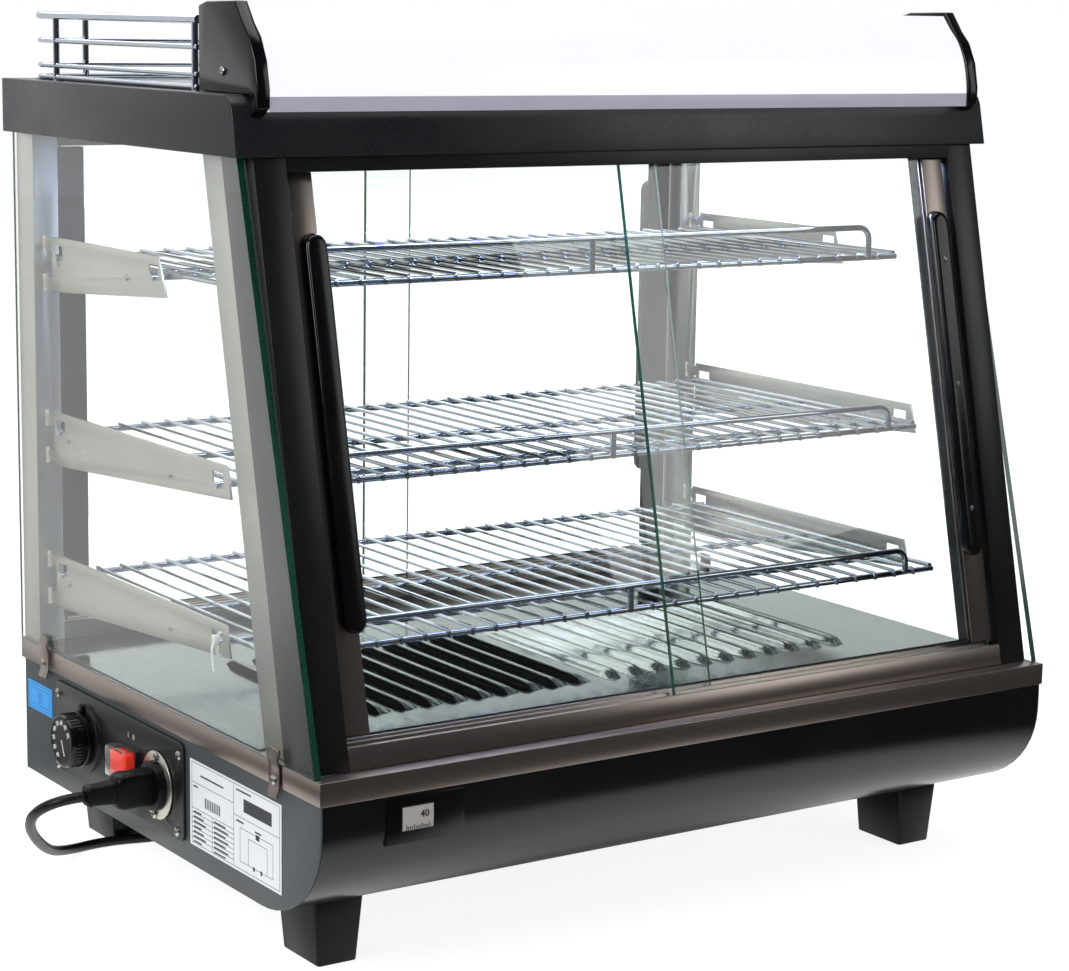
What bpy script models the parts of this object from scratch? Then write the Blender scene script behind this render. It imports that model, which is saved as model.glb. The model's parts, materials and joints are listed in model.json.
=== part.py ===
"""Countertop hot food display case with slanted front, sliding glass doors and three wire shelves.

The case is drawn in its own coordinates: X = 0 in the middle, Y = 0 at the front of the rim,
Z = 0 on the counter. The empty "display_case" then puts the middle of its footprint on the origin.
"""

import math

import bmesh
import bpy
from mathutils import Matrix, Vector
from mathutils.geometry import interpolate_bezier

# ---- Driving dimensions, in metres -------------------------------------------------------------

GAP = 0.0003  # between pieces that rest on each other
SHEET = 0.0012  # folded sheet metal
FOOT_HEIGHT = 0.0514
FOOT_BOTTOM = (0.032, 0.052)
FOOT_TOP = (0.040, 0.058)
FOOT_INSET_X = 0.0415  # outer side of a foot, from the body's side
FOOT_FRONT_Y = 0.0787
FOOT_BACK_INSET = 0.0257

BODY_HALF_WIDTH = 0.3300
BODY_DEPTH = 0.4905
BODY_HEIGHT = 0.1081  # from the bottom plate's underside to the rim's flange
APRON_RADIUS_Y = 0.0850
APRON_RADIUS_Z = 0.0733
APRON_STEPS = 12
APRON_FLAT = 0.0100  # flat tail of the apron under the body

RIM_OVERHANG = 0.0015
RIM_BACK_OVERHANG = 0.0040
RIM_HEIGHT = 0.0167
RIM_SHEET = 0.0010
RIM_FLANGE_SIDE = 0.0465
RIM_FLANGE_FRONT = 0.0600
RIM_FLANGE_BACK = 0.0395

DECK_NOTCH_PLAY = 0.0030  # between the posts and the deck's notched corners
DECK_PLAY = 0.0010
LOUVRE_COUNT = 21
LOUVRE_PITCH = 0.0224
LOUVRE_WIDTH = 0.0140
LOUVRE_RISE = 0.0055
LOUVRE_FRONT_Y = 0.1285
LOUVRE_LENGTH = 0.1945
LOUVRE_END = 0.0090

CABINET_HEIGHT = 0.4087  # from the rim's top to the roof's lower edge
LEAN_ANGLE = math.radians(12.446)
FRONT_PLANE_Y = 0.0146  # the posts' front face at the rim's top
GLASS = 0.0050
SIDE_GLASS_INSET = 0.0002  # its outer face, from the rim's side
SIDE_GLASS_FRONT_LOW = 0.0080
SIDE_GLASS_EXTRA_LEAN = 0.0464  # how much more its front edge leans than the front plane
CLIP_FRONT_Y = 0.0613
CLIP_BACK_INSET = 0.0495
CLIP_WIDTH = 0.0150

POST_WIDTH = 0.0253
POST_GLASS_GAP = 0.0008
POST_SHEET = 0.0015
POST_SIDE_DEPTH = 0.0400
POST_RETURN_DEPTH = 0.0240
POST_STRIP_STEP = 0.0033  # from the post's painted side in to the bare strip behind it
POST_STRIP_DEPTH = 0.0740

UPRIGHT_WIDTH = 0.0213
UPRIGHT_DEPTH = 0.0300
UPRIGHT_GLASS_GAP = 0.0005
UPRIGHT_BACK_INSET = 0.0025
UPRIGHT_SHEET = 0.0015
SLOT_HEIGHT = 0.0130
SLOT_WIDTH = 0.0030

DOOR_GLASS = 0.0040
DOOR_OVERLAP = 0.0390
DOOR_PITCH = 0.0098  # from one door's glass to the next
DOOR_SIDE_PLAY = 0.00175  # from a door's glass to its groove's wall
FRONT_DOOR_END_PLAY = 0.0047
REAR_DOOR_END_PLAY = 0.0030
TRACK_FRONT_WALL = 0.0035
TRACK_BASE = 0.0030
TRACK_HEIGHT = 0.0157
TRACK_BACK_WALL = 0.0043
UPPER_TRACK_DROP = 0.0105  # how far the upper tracks hang below the roof's lower edge
DOOR_RISE = 0.0040  # how far the doors reach above the roof's lower edge
PROFILE_WIDTH = 0.0210
PROFILE_DEPTH = 0.0080
PROFILE_LOW_PLAY = 0.0035
PROFILE_HIGH_PLAY = 0.0010
HANDLE_WIDTH = 0.0180
HANDLE_DEPTH = 0.0092
HANDLE_INSET = 0.0150  # its middle, from the door's outer end
HANDLE_RISE = 0.0879  # its lower end, from the rim's top
HANDLE_LENGTH = 0.2690
HANDLE_END_STEPS = 6

ROOF_SIDE_OVERHANG = 0.0090
ROOF_HEIGHT = 0.0414
ROOF_FRONT_OVERHANG = 0.0027
ROOF_BACK_OVERHANG = 0.0012
ROOF_EDGE_RADIUS = 0.0100
LAMP_HALF_LENGTH = 0.2800
LINER_RISE = 0.0152  # from the roof's lower edge to the liner

SIGN_INSET = 0.0137  # the end caps' outer faces, from the roof's sides
CAP_WIDTH = 0.0100
SIGN_DROP = 0.0152  # how far the end caps hang below the roof's top
# The sign's outlines are (Y, Z), from the foot of the roof's front and from the roof's top.
SIGN_BACK = (0.0819, 0.0588)  # upper rear corner of an end cap
CAP_FRONT = [  # an end cap's front, from its bottom to its top rear
    (-0.0042, -0.0086),
    (-0.0043, 0.0038),
    (-0.0003, 0.0228),
    (0.0075, 0.0384),
    (0.0169, 0.0478),
    (0.0279, 0.0624),
    (0.0699, 0.0618),
]
PANEL_CURVE = [  # the lit panel's outer face, from its bottom to its top
    (-0.0011, -0.0112),
    (-0.0016, 0.0038),
    (0.0024, 0.0228),
    (0.0104, 0.0388),
    (0.0199, 0.0488),
    (0.0289, 0.0593),
]
SIGN_SHEET = 0.0025

RAIL_SIDE_INSET = 0.0165
RAIL_FRONT_GAP = 0.0060  # from the sign's end caps
RAIL_BACK_INSET = 0.0217
RAIL_CORNER = 0.0200
RAIL_RODS = ((0.0022, 0.0020), (0.0110, 0.0020), (0.0298, 0.0020), (0.0488, 0.0030))  # height, radius
RAIL_LEG_RADIUS = 0.0025
RAIL_LEG_INSET = 0.0450  # from the rail's outer corner

SHELF_RISES = (0.0629, 0.1779, 0.3159)  # upper side of each shelf, above the deck
SHELF_DEPTHS = (0.3255, 0.2980, 0.2655)  # from the rear rod to the front edge
SHELF_RAIL_RISE = (0.0170, 0.0170, 0.0230)
SHELF_NAMES = ("lower", "middle", "upper")
SHELF_SIDE_INSET = 0.0085  # from the brackets
SHELF_END_SPACE = 0.0120  # least distance from the last wire to the side rod
SHELF_WIRE_PITCH = 0.0204
SHELF_WIRE = 0.0030
SHELF_ROD = 0.0050
SHELF_RAIL_INSET = 0.0310
SHELF_MIDDLE_RODS = (0.1635, 0.1505, 0.1365)  # from the rear rod

BRACKET_INSET = 0.0093  # its middle, from the upright's outer side
BRACKET_SHEET = 0.0015
BRACKET_RISE = 0.0115  # from the shelf's upper side to the bracket's top edge
BRACKET_BACK_HEIGHT = 0.0440
BRACKET_FRONT_HEIGHT = (0.0235, 0.0235, 0.0290)
BRACKET_LENGTHS = (0.2990, 0.3010, 0.2015)
BRACKET_BACK_GAP = 0.0140  # from the upright's front
BRACKET_ROD_INSET = 0.0125  # the shelf's rear rod, from the bracket's rear edge
BRACKET_NOSE_SLANT = (0.0060, 0.0060, 0.0132)
BRACKET_HOLE = (0.0160, 0.0080)
BRACKET_HOLE_INSET = 0.0205
BRACKET_TAB = 0.0085

PANEL_LOW = (0.2015, 0.0655)  # control plate corners, Y and Z
PANEL_HIGH = (0.4275, 0.1400)
PANEL_SHEET = 0.0015
PANEL_CORNER = 0.0060
KNOB_CENTRE = (0.3695, 0.1053)
KNOB_RADIUS = 0.0220
KNOB_DEPTH = 0.0180
KNOB_BOSS_RADIUS = 0.0270
KNOB_BOSS_DEPTH = 0.0030
KNOB_SHAFT_RADIUS = 0.0030
KNOB_TURN_CLEARANCE = 0.0005
SWITCH_CENTRE = (0.2893, 0.1060)
SWITCH_SIZE = (0.0315, 0.0240)
SWITCH_FRAME = 0.0025
SWITCH_FRAME_DEPTH = 0.0040
ROCKER_DEPTH = 0.0120
ROCKER_PLAY = 0.0008
ROCKER_TILT = math.radians(8)
INLET_CENTRE = (0.2435, 0.0992)
INLET_FLANGE = (0.0250, 0.0260)
INLET_COLLAR_RADIUS = 0.0187
INLET_COLLAR_DEPTH = 0.0050
INLET_BODY_RADIUS = 0.0170
INLET_BODY_DEPTH = 0.0250
WINDOW_MARGIN = 0.0100
THERMOMETER_INSET = 0.0500  # from the body's left side
THERMOMETER_SIZE = (0.0630, 0.0340)
THERMOMETER_DROP = 0.0024  # from the rim's lower edge
THERMOMETER_DEPTH = 0.0280

CONNECTOR_SIZE = (0.0200, 0.0270)
CONNECTOR_LENGTH = 0.0290
CONNECTOR_TAIL_SIZE = (0.0165, 0.0185)
CONNECTOR_TAIL_LENGTH = 0.0230
CORD_RADIUS = 0.0040
CORD_SPACING = 0.0110
COIL_CENTRE = (-0.1200, 0.3250)
COIL_RADIUS = 0.0450
COIL_TURNS_WIDE = 2
COIL_TURNS_HIGH = 2
PLUG_RADIUS = 0.0185
PLUG_LENGTH = 0.0380
PLUG_TAIL_LENGTH = 0.0200
PLUG_TAIL_RADIUS = 0.0070
PLUG_REACH = 0.0360  # from the coil's middle to the plug's tail
PLUG_PIN_RADIUS = 0.0024
PLUG_PIN_LENGTH = 0.0190
PLUG_PIN_SPACING = 0.0190

# The cord's route in case coordinates, from the connector to its coil under the body.
CORD_ROUTE = [
    (-0.3926, 0.2435, 0.0992),
    (-0.4012, 0.2439, 0.0990),
    (-0.4093, 0.2462, 0.0976),
    (-0.4158, 0.2512, 0.0944),
    (-0.4198, 0.2592, 0.0892),
    (-0.4203, 0.2705, 0.0815),
    (-0.4165, 0.2842, 0.0715),
    (-0.4085, 0.3000, 0.0601),
    (-0.3962, 0.3195, 0.0468),
    (-0.3805, 0.3430, 0.0325),
    (-0.3630, 0.3680, 0.0195),
    (-0.3450, 0.3890, 0.0105),
    (-0.3265, 0.4030, 0.0055),
    (-0.3080, 0.4095, 0.0041),
    (-0.2870, 0.4085, 0.0041),
    (-0.2640, 0.4030, 0.0041),
    (-0.2380, 0.3985, 0.0041),
    (-0.2130, 0.3900, 0.0041),
    (-0.1960, 0.3770, 0.0041),
    (-0.1865, 0.3620, 0.0041),
    (-0.1771, 0.3388, 0.0041),
]

# ---- Sizes that follow from the ones above -----------------------------------------------------

LEAN = math.tan(LEAN_ANGLE)  # how far the front goes back for each unit of height
BODY_LOW_Z = FOOT_HEIGHT + GAP
BODY_TOP_Z = BODY_LOW_Z + BODY_HEIGHT
RIM_TOP_Z = BODY_TOP_Z + GAP + RIM_SHEET
RIM_HALF_WIDTH = BODY_HALF_WIDTH + RIM_OVERHANG
RIM_BACK_Y = BODY_DEPTH + RIM_BACK_OVERHANG
APRON_FRONT_Y = RIM_SHEET + GAP
DECK_LOW_Z = RIM_TOP_Z + GAP
DECK_TOP_Z = DECK_LOW_Z + SHEET
SIDE_GLASS_X = RIM_HALF_WIDTH - SIDE_GLASS_INSET - GLASS  # inner face
SIDE_GLASS_BACK_Y = RIM_BACK_Y
POST_OUTER_X = SIDE_GLASS_X - POST_GLASS_GAP
POST_STRIP_X = POST_OUTER_X - POST_STRIP_STEP
UPRIGHT_OUTER_X = SIDE_GLASS_X - UPRIGHT_GLASS_GAP
UPRIGHT_INNER_X = UPRIGHT_OUTER_X - UPRIGHT_WIDTH
UPRIGHT_BACK_Y = RIM_BACK_Y - UPRIGHT_BACK_INSET
UPRIGHT_FRONT_Y = UPRIGHT_BACK_Y - UPRIGHT_DEPTH
DECK_HALF_WIDTH = POST_OUTER_X - GAP
ROOF_LOW_Z = RIM_TOP_Z + CABINET_HEIGHT
ROOF_TOP_Z = ROOF_LOW_Z + ROOF_HEIGHT
ROOF_HALF_WIDTH = BODY_HALF_WIDTH + ROOF_SIDE_OVERHANG
ROOF_FRONT_Y = FRONT_PLANE_Y + LEAN * CABINET_HEIGHT - ROOF_FRONT_OVERHANG
ROOF_BACK_Y = RIM_BACK_Y + ROOF_BACK_OVERHANG
LINER_LOW_Z = ROOF_LOW_Z + LINER_RISE
POST_INNER_X = POST_OUTER_X - POST_WIDTH
FRONT_TRACK_HALF_WIDTH = POST_INNER_X - GAP
REAR_TRACK_HALF_WIDTH = UPRIGHT_INNER_X - GAP
TRACK_TOP_Z = RIM_TOP_Z + GAP + TRACK_HEIGHT
GROOVE = DOOR_GLASS + 2 * DOOR_SIDE_PLAY
TRACK_MIDDLE_WALL = DOOR_PITCH - GROOVE
TRACK_DEPTH = TRACK_FRONT_WALL + 2 * GROOVE + TRACK_MIDDLE_WALL + TRACK_BACK_WALL
OUTER_GLASS_U = TRACK_FRONT_WALL + DOOR_SIDE_PLAY
INNER_GLASS_U = OUTER_GLASS_U + DOOR_PITCH
DOOR_LOW_Z = RIM_TOP_Z + GAP + TRACK_BASE + 2 * GAP
DOOR_HIGH_Z = ROOF_LOW_Z + DOOR_RISE
UPPER_TRACK_LOW_Z = ROOF_LOW_Z - UPPER_TRACK_DROP
PROFILE_LOW_Z = TRACK_TOP_Z + PROFILE_LOW_PLAY
PROFILE_HIGH_Z = UPPER_TRACK_LOW_Z - PROFILE_HIGH_PLAY
FRONT_DOOR_OUTER_X = POST_INNER_X - FRONT_DOOR_END_PLAY
REAR_DOOR_OUTER_X = UPRIGHT_INNER_X - REAR_DOOR_END_PLAY
PLATE_X = -(BODY_HALF_WIDTH + GAP)
PLATE_FACE_X = PLATE_X - PANEL_SHEET
REAR_TRACK_Y = UPRIGHT_FRONT_Y
REAR_DOOR_Y = REAR_TRACK_Y + TRACK_BACK_WALL + DOOR_SIDE_PLAY  # the inner door's glass
HANDLE_LOW_Z = RIM_TOP_Z + HANDLE_RISE
HANDLE_HIGH_Z = HANDLE_LOW_Z + HANDLE_LENGTH
SIGN_HALF_WIDTH = ROOF_HALF_WIDTH - SIGN_INSET
SIGN_BACK_Y = ROOF_FRONT_Y + SIGN_BACK[0]
RAIL_X = ROOF_HALF_WIDTH - RAIL_SIDE_INSET
RAIL_FRONT_Y = SIGN_BACK_Y + RAIL_FRONT_GAP
RAIL_BACK_Y = ROOF_BACK_Y - RAIL_BACK_INSET
BRACKET_X = UPRIGHT_OUTER_X - BRACKET_INSET
BRACKET_BACK_Y = UPRIGHT_FRONT_Y - BRACKET_BACK_GAP
BRACKET_FRONT_Y = [BRACKET_BACK_Y - length for length in BRACKET_LENGTHS]
SHELF_BACK_Y = BRACKET_BACK_Y - BRACKET_ROD_INSET
SHELF_FRONT_Y = [SHELF_BACK_Y - depth for depth in SHELF_DEPTHS]
SHELF_MIDDLE_ROD_Y = [SHELF_BACK_Y - distance for distance in SHELF_MIDDLE_RODS]
SHELF_HALF_WIDTH = BRACKET_X - SHELF_SIDE_INSET
SHELF_WIRES = 2 * int((SHELF_HALF_WIDTH - SHELF_END_SPACE) / SHELF_WIRE_PITCH) + 1
SHELF_RAIL_HALF_WIDTH = SHELF_HALF_WIDTH - SHELF_RAIL_INSET
THERMOMETER_HIGH_Z = RIM_TOP_Z - RIM_HEIGHT - THERMOMETER_DROP
THERMOMETER_LOW = (-BODY_HALF_WIDTH + THERMOMETER_INSET, THERMOMETER_HIGH_Z - THERMOMETER_SIZE[1])
THERMOMETER_HIGH = (THERMOMETER_LOW[0] + THERMOMETER_SIZE[0], THERMOMETER_HIGH_Z)
CLIP_PLACES = (CLIP_FRONT_Y, RIM_BACK_Y - CLIP_BACK_INSET)
KNOB_FACE_X = PLATE_FACE_X - KNOB_BOSS_DEPTH - KNOB_TURN_CLEARANCE - KNOB_DEPTH

CASE_ORIGIN = (-(KNOB_FACE_X + ROOF_HALF_WIDTH) / 2, -ROOF_BACK_Y / 2, 0.0)


# ---- Finishes ----------------------------------------------------------------------------------

FINISHES = {
    # name: (sRGB colour, roughness, metallic)
    "black_paint": ("#15171A", 0.45, 0.0),
    "grey_paint": ("#4C5154", 0.50, 0.0),
    "stainless": ("#8C8580", 0.32, 1.0),
    "bright_steel": ("#C9CBC8", 0.22, 1.0),
    "chrome": ("#D5D8DC", 0.10, 1.0),
    "glass": ("#DCE8E2", 0.05, 0.0),
    "black_plastic": ("#0B0B0C", 0.30, 0.0),
    "acrylic": ("#F4F4FA", 0.35, 0.0),
    "red_plastic": ("#E0301E", 0.25, 0.0),
    "rubber": ("#101011", 0.55, 0.0),
    "lamp": ("#EEF3FF", 0.40, 0.0),
}


def linear(channel):
    """One sRGB channel as a linear value."""
    if channel <= 0.04045:
        return channel / 12.92
    return ((channel + 0.055) / 1.055) ** 2.4


def make_material(name, finish):
    """A Principled material for one node."""
    colour, roughness, metallic = FINISHES[finish]
    channels = [int(colour[i : i + 2], 16) / 255 for i in (1, 3, 5)]
    material = bpy.data.materials.new(name)
    material.use_nodes = True
    shader = material.node_tree.nodes["Principled BSDF"]
    shader.inputs["Base Color"].default_value = (*[linear(c) for c in channels], 1.0)
    shader.inputs["Roughness"].default_value = roughness
    shader.inputs["Metallic"].default_value = metallic
    return material


# ---- Building blocks ---------------------------------------------------------------------------


def clear_scene():
    for obj in list(bpy.data.objects):
        bpy.data.objects.remove(obj, do_unlink=True)


def front_y(z):
    """Y of the slanted front plane at a height."""
    return FRONT_PLANE_Y + LEAN * (z - RIM_TOP_Z)


def lean_back(bm):
    """Shears a front piece, drawn with Y as the distance behind the front plane, onto that plane."""
    for vert in bm.verts:
        vert.co.y += front_y(vert.co.z)


def box_mesh(low, high):
    """A bmesh box between two corners."""
    bm = bmesh.new()
    bmesh.ops.create_cube(bm, size=1.0)
    low, high = Vector(low), Vector(high)
    size = high - low
    bmesh.ops.scale(bm, vec=size, verts=bm.verts)
    bmesh.ops.translate(bm, vec=(low + high) / 2, verts=bm.verts)
    return bm


def prism_mesh(outline, axis, start, end):
    """An outline extruded along X, Y or Z. The outline's two coordinates are the other axes in order."""
    spot = {
        "X": lambda a, b, t: (t, a, b),
        "Y": lambda a, b, t: (a, t, b),
        "Z": lambda a, b, t: (a, b, t),
    }[axis]
    bm = bmesh.new()
    face = bm.faces.new([bm.verts.new(spot(a, b, start)) for a, b in outline])
    pushed = bmesh.ops.extrude_face_region(bm, geom=[face])
    moved = [v for v in pushed["geom"] if isinstance(v, bmesh.types.BMVert)]
    bmesh.ops.translate(bm, vec=spot(0.0, 0.0, end - start), verts=moved)
    bmesh.ops.recalc_face_normals(bm, faces=bm.faces)
    return bm


def loft_mesh(rings):
    """A closed skin through rings of the same number of points."""
    bm = bmesh.new()
    loops = [[bm.verts.new(point) for point in ring] for ring in rings]
    for low, high in zip(loops, loops[1:]):
        for i in range(len(low)):
            j = (i + 1) % len(low)
            bm.faces.new((low[i], low[j], high[j], high[i]))
    bm.faces.new(loops[0])
    bm.faces.new(loops[-1])
    bmesh.ops.recalc_face_normals(bm, faces=bm.faces)
    return bm


def turned_mesh(profile, steps, centre, axis="X"):
    """A solid turned about an axis through centre. The profile holds (place along the axis, radius)."""
    rings = []
    for along, radius in profile:
        ring = []
        for i in range(steps):
            angle = 2 * math.pi * i / steps
            a, b = radius * math.cos(angle), radius * math.sin(angle)
            if axis == "X":
                ring.append((along, centre[0] + a, centre[1] + b))
            else:
                ring.append((centre[0] + a, centre[1] + b, along))
        rings.append(ring)
    return loft_mesh(rings)


def lattice_mesh(columns, rows, filled, place):
    """Faces for the filled cells of a grid of bars. A Solidify modifier gives it its thickness."""
    bm = bmesh.new()
    corners = {}

    def corner(i, j):
        if (i, j) not in corners:
            corners[i, j] = bm.verts.new(place(columns[i], rows[j]))
        return corners[i, j]

    for i in range(len(columns) - 1):
        for j in range(len(rows) - 1):
            if filled(i, j):
                bm.faces.new((corner(i, j), corner(i + 1, j), corner(i + 1, j + 1), corner(i, j + 1)))
    return bm


def place_node(name, bm, finish, pivot=(0.0, 0.0, 0.0), smooth=False):
    """Makes a named object of a bmesh that is drawn in case coordinates, with its origin at pivot."""
    bmesh.ops.translate(bm, vec=-Vector(pivot), verts=bm.verts)
    mesh = bpy.data.meshes.new(name)
    bm.to_mesh(mesh)
    bm.free()
    obj = bpy.data.objects.new(name, mesh)
    bpy.context.scene.collection.objects.link(obj)
    obj.parent = bpy.data.objects["display_case"]
    obj.location = pivot
    mesh.materials.append(make_material(name, finish))
    if smooth:
        mesh.shade_smooth()
        mesh.set_sharp_from_angle(angle=math.radians(35))
    return obj


def place_helper(name, bm):
    """A cutter or a joined piece, which isn't part of the case by itself."""
    helper = place_node(name, bm, "black_plastic")
    helper.hide_render = True
    helper.display_type = "WIRE"
    return helper


def combine(obj, operation, bm, label):
    """Cuts a bmesh from an object, or joins it to the object."""
    modifier = obj.modifiers.new(label, "BOOLEAN")
    modifier.operation = operation
    modifier.solver = "EXACT"
    modifier.object = place_helper(f"helper_{obj.name}_{label}", bm)


def give_thickness(obj, thickness, offset=-1.0):
    modifier = obj.modifiers.new("thickness", "SOLIDIFY")
    modifier.thickness = thickness
    modifier.offset = offset
    modifier.use_even_offset = True


def mirrored(bm, side):
    """The same bmesh on the left (-1) or, as drawn, on the right (+1)."""
    if side < 0:
        bmesh.ops.scale(bm, vec=(-1.0, 1.0, 1.0), verts=bm.verts)
        bmesh.ops.reverse_faces(bm, faces=bm.faces)
    return bm


def rounded_outline(low, high, radius, steps=3):
    """A rectangle with round corners, as a list of points."""
    points = []
    centres = (
        (high[0] - radius, high[1] - radius),
        (low[0] + radius, high[1] - radius),
        (low[0] + radius, low[1] + radius),
        (high[0] - radius, low[1] + radius),
    )
    for quarter, (x, y) in enumerate(centres):
        for i in range(steps + 1):
            angle = math.pi / 2 * (quarter + i / steps)
            points.append((x + radius * math.cos(angle), y + radius * math.sin(angle)))
    return points


def tube(name, points, radius, finish, resolution=2):
    """A tube along points, as a curve with round bevel and closed ends."""
    curve = bpy.data.curves.new(name, "CURVE")
    curve.dimensions = "3D"
    spline = curve.splines.new("POLY")
    spline.points.add(len(points) - 1)
    for spot, point in zip(spline.points, points):
        spot.co = (*point, 1.0)
    curve.bevel_depth = radius
    curve.bevel_resolution = resolution
    curve.use_fill_caps = True
    curve.materials.append(make_material(name, finish))
    obj = bpy.data.objects.new(name, curve)
    bpy.context.scene.collection.objects.link(obj)
    obj.parent = bpy.data.objects["display_case"]
    return obj


# ---- Base --------------------------------------------------------------------------------------


def apron_curve(inset):
    """The apron's outline, top to bottom, moved inwards by inset. Points are (Y, Z)."""
    centre_y = APRON_FRONT_Y + APRON_RADIUS_Y
    centre_z = BODY_LOW_Z + APRON_RADIUS_Z
    points = [(APRON_FRONT_Y + inset, BODY_TOP_Z)]
    for i in range(APRON_STEPS + 1):
        angle = math.pi / 2 * i / APRON_STEPS
        y = centre_y - (APRON_RADIUS_Y - inset) * math.cos(angle)
        z = centre_z - (APRON_RADIUS_Z - inset) * math.sin(angle)
        points.append((y, z))
    return points


def make_side_panel(name, side):
    outline = apron_curve(0.0) + [(BODY_DEPTH, BODY_LOW_Z), (BODY_DEPTH, BODY_TOP_Z)]
    inner, outer = side * (BODY_HALF_WIDTH - SHEET), side * BODY_HALF_WIDTH
    panel = place_node(name, prism_mesh(outline, "X", inner, outer), "grey_paint")
    if side < 0:
        low = (PANEL_LOW[0] + WINDOW_MARGIN, PANEL_LOW[1] + WINDOW_MARGIN)
        high = (PANEL_HIGH[0] - WINDOW_MARGIN, PANEL_HIGH[1] - WINDOW_MARGIN)
        window = box_mesh((outer - SHEET, *low), (inner + SHEET, *high))
        combine(panel, "DIFFERENCE", window, "window")


def make_apron():
    half = BODY_HALF_WIDTH - SHEET - GAP
    outside, inside = apron_curve(0.0), apron_curve(SHEET)
    tail_y = outside[-1][0] + APRON_FLAT
    outline = outside + [(tail_y, outside[-1][1]), (tail_y, inside[-1][1])] + inside[::-1]
    apron = place_node("front_apron", prism_mesh(outline, "X", -half, half), "black_paint", smooth=True)
    low = (THERMOMETER_LOW[0] - GAP, APRON_FRONT_Y - SHEET, THERMOMETER_LOW[1] - GAP)
    high = (THERMOMETER_HIGH[0] + GAP, THERMOMETER_DEPTH, THERMOMETER_HIGH[1] + GAP)
    combine(apron, "DIFFERENCE", box_mesh(low, high), "thermometer_window")
    return tail_y


def make_base_pan(front):
    """Bottom plate and back wall, folded from one sheet."""
    half = BODY_HALF_WIDTH - SHEET - GAP
    outline = [
        (front + GAP, BODY_LOW_Z),
        (BODY_DEPTH, BODY_LOW_Z),
        (BODY_DEPTH, BODY_TOP_Z),
        (BODY_DEPTH - SHEET, BODY_TOP_Z),
        (BODY_DEPTH - SHEET, BODY_LOW_Z + SHEET),
        (front + GAP, BODY_LOW_Z + SHEET),
    ]
    place_node("base_pan", prism_mesh(outline, "X", -half, half), "grey_paint")


def make_rim():
    """The stainless rim: a skirt round the body with a flange that carries the cabinet."""
    x, back = RIM_HALF_WIDTH, RIM_BACK_Y
    inner_x = RIM_HALF_WIDTH - RIM_FLANGE_SIDE
    front, rear = RIM_FLANGE_FRONT, back - RIM_FLANGE_BACK

    def ring(spread, z):
        side, rear = x - spread, back - spread
        return [(-side, spread, z), (side, spread, z), (side, rear, z), (-side, rear, z)]

    def hole(z):
        return [(-inner_x, front, z), (inner_x, front, z), (inner_x, rear, z), (-inner_x, rear, z)]

    low = RIM_TOP_Z - RIM_HEIGHT
    under = RIM_TOP_Z - RIM_SHEET
    loops = [
        ring(0.0, low),
        ring(0.0, RIM_TOP_Z),
        hole(RIM_TOP_Z),
        hole(under),
        ring(RIM_SHEET, under),
        ring(RIM_SHEET, low),
    ]
    bm = bmesh.new()
    rows = [[bm.verts.new(p) for p in loop] for loop in loops]
    for k in range(len(rows)):
        a, b = rows[k], rows[(k + 1) % len(rows)]
        for i in range(4):
            j = (i + 1) % 4
            bm.faces.new((a[i], a[j], b[j], b[i]))
    bmesh.ops.recalc_face_normals(bm, faces=bm.faces)
    place_node("rim_frame", bm, "stainless")


def louvre_columns():
    """The deck's columns from left to right, as (X, height of the hood there, kind)."""
    notch = FRONT_TRACK_HALF_WIDTH - GAP
    middle = (LOUVRE_COUNT - 1) / 2
    columns = [(-DECK_HALF_WIDTH, 0.0, "flat"), (-notch, 0.0, "flat")]
    for i in range(LOUVRE_COUNT):
        x = (i - middle) * LOUVRE_PITCH
        hood = [(-0.5, 1.0, "mouth"), (0.1, 0.9, "crown"), (0.5, 0.0, "flat")]
        if i >= middle:
            hood = [(-share, rise, kind) for share, rise, kind in reversed(hood)]
        columns += [(x + share * LOUVRE_WIDTH, rise, kind) for share, rise, kind in hood]
    return columns + [(notch, 0.0, "flat"), (DECK_HALF_WIDTH, 0.0, "flat")]


def make_deck():
    """The heated deck: a sheet with long raised louvres, the left ones open to the left."""
    front = front_y(DECK_TOP_Z) + TRACK_DEPTH + DECK_PLAY
    back = REAR_TRACK_Y - GAP
    start, end = LOUVRE_FRONT_Y, LOUVRE_FRONT_Y + LOUVRE_LENGTH
    notch_back = front_y(DECK_TOP_Z) + POST_STRIP_DEPTH + DECK_NOTCH_PLAY
    rows = [front, notch_back, start, start + LOUVRE_END, end - LOUVRE_END, end, back]
    raised_rows = (3, 4)
    columns = louvre_columns()
    bm = bmesh.new()
    flat, raised = {}, {}
    for i, (x, rise, kind) in enumerate(columns):
        for j, y in enumerate(rows):
            if rise > 0 and j in raised_rows:
                raised[i, j] = bm.verts.new((x, y, DECK_TOP_Z + rise * LOUVRE_RISE))
            if kind != "crown" or j not in raised_rows:
                flat[i, j] = bm.verts.new((x, y, DECK_TOP_Z))

    def corner(i, j, neighbour):
        """The corner as the strip between columns i and neighbour sees it: raised inside a hood."""
        in_hood = "crown" in (columns[i][2], columns[neighbour][2])
        if in_hood and (i, j) in raised:
            return raised[i, j]
        return flat[i, j]

    for i in range(len(columns) - 1):
        for j in range(len(rows) - 1):
            if j == 0 and i in (0, len(columns) - 2):
                continue
            k = i + 1
            bm.faces.new((corner(i, j, k), corner(k, j, i), corner(k, j + 1, i), corner(i, j + 1, k)))
    used = [v for v in bm.verts if v.link_faces]
    for vert in set(bm.verts) - set(used):
        bm.verts.remove(vert)
    deck = place_node("deck_tray", bm, "bright_steel")
    give_thickness(deck, SHEET)


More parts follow.
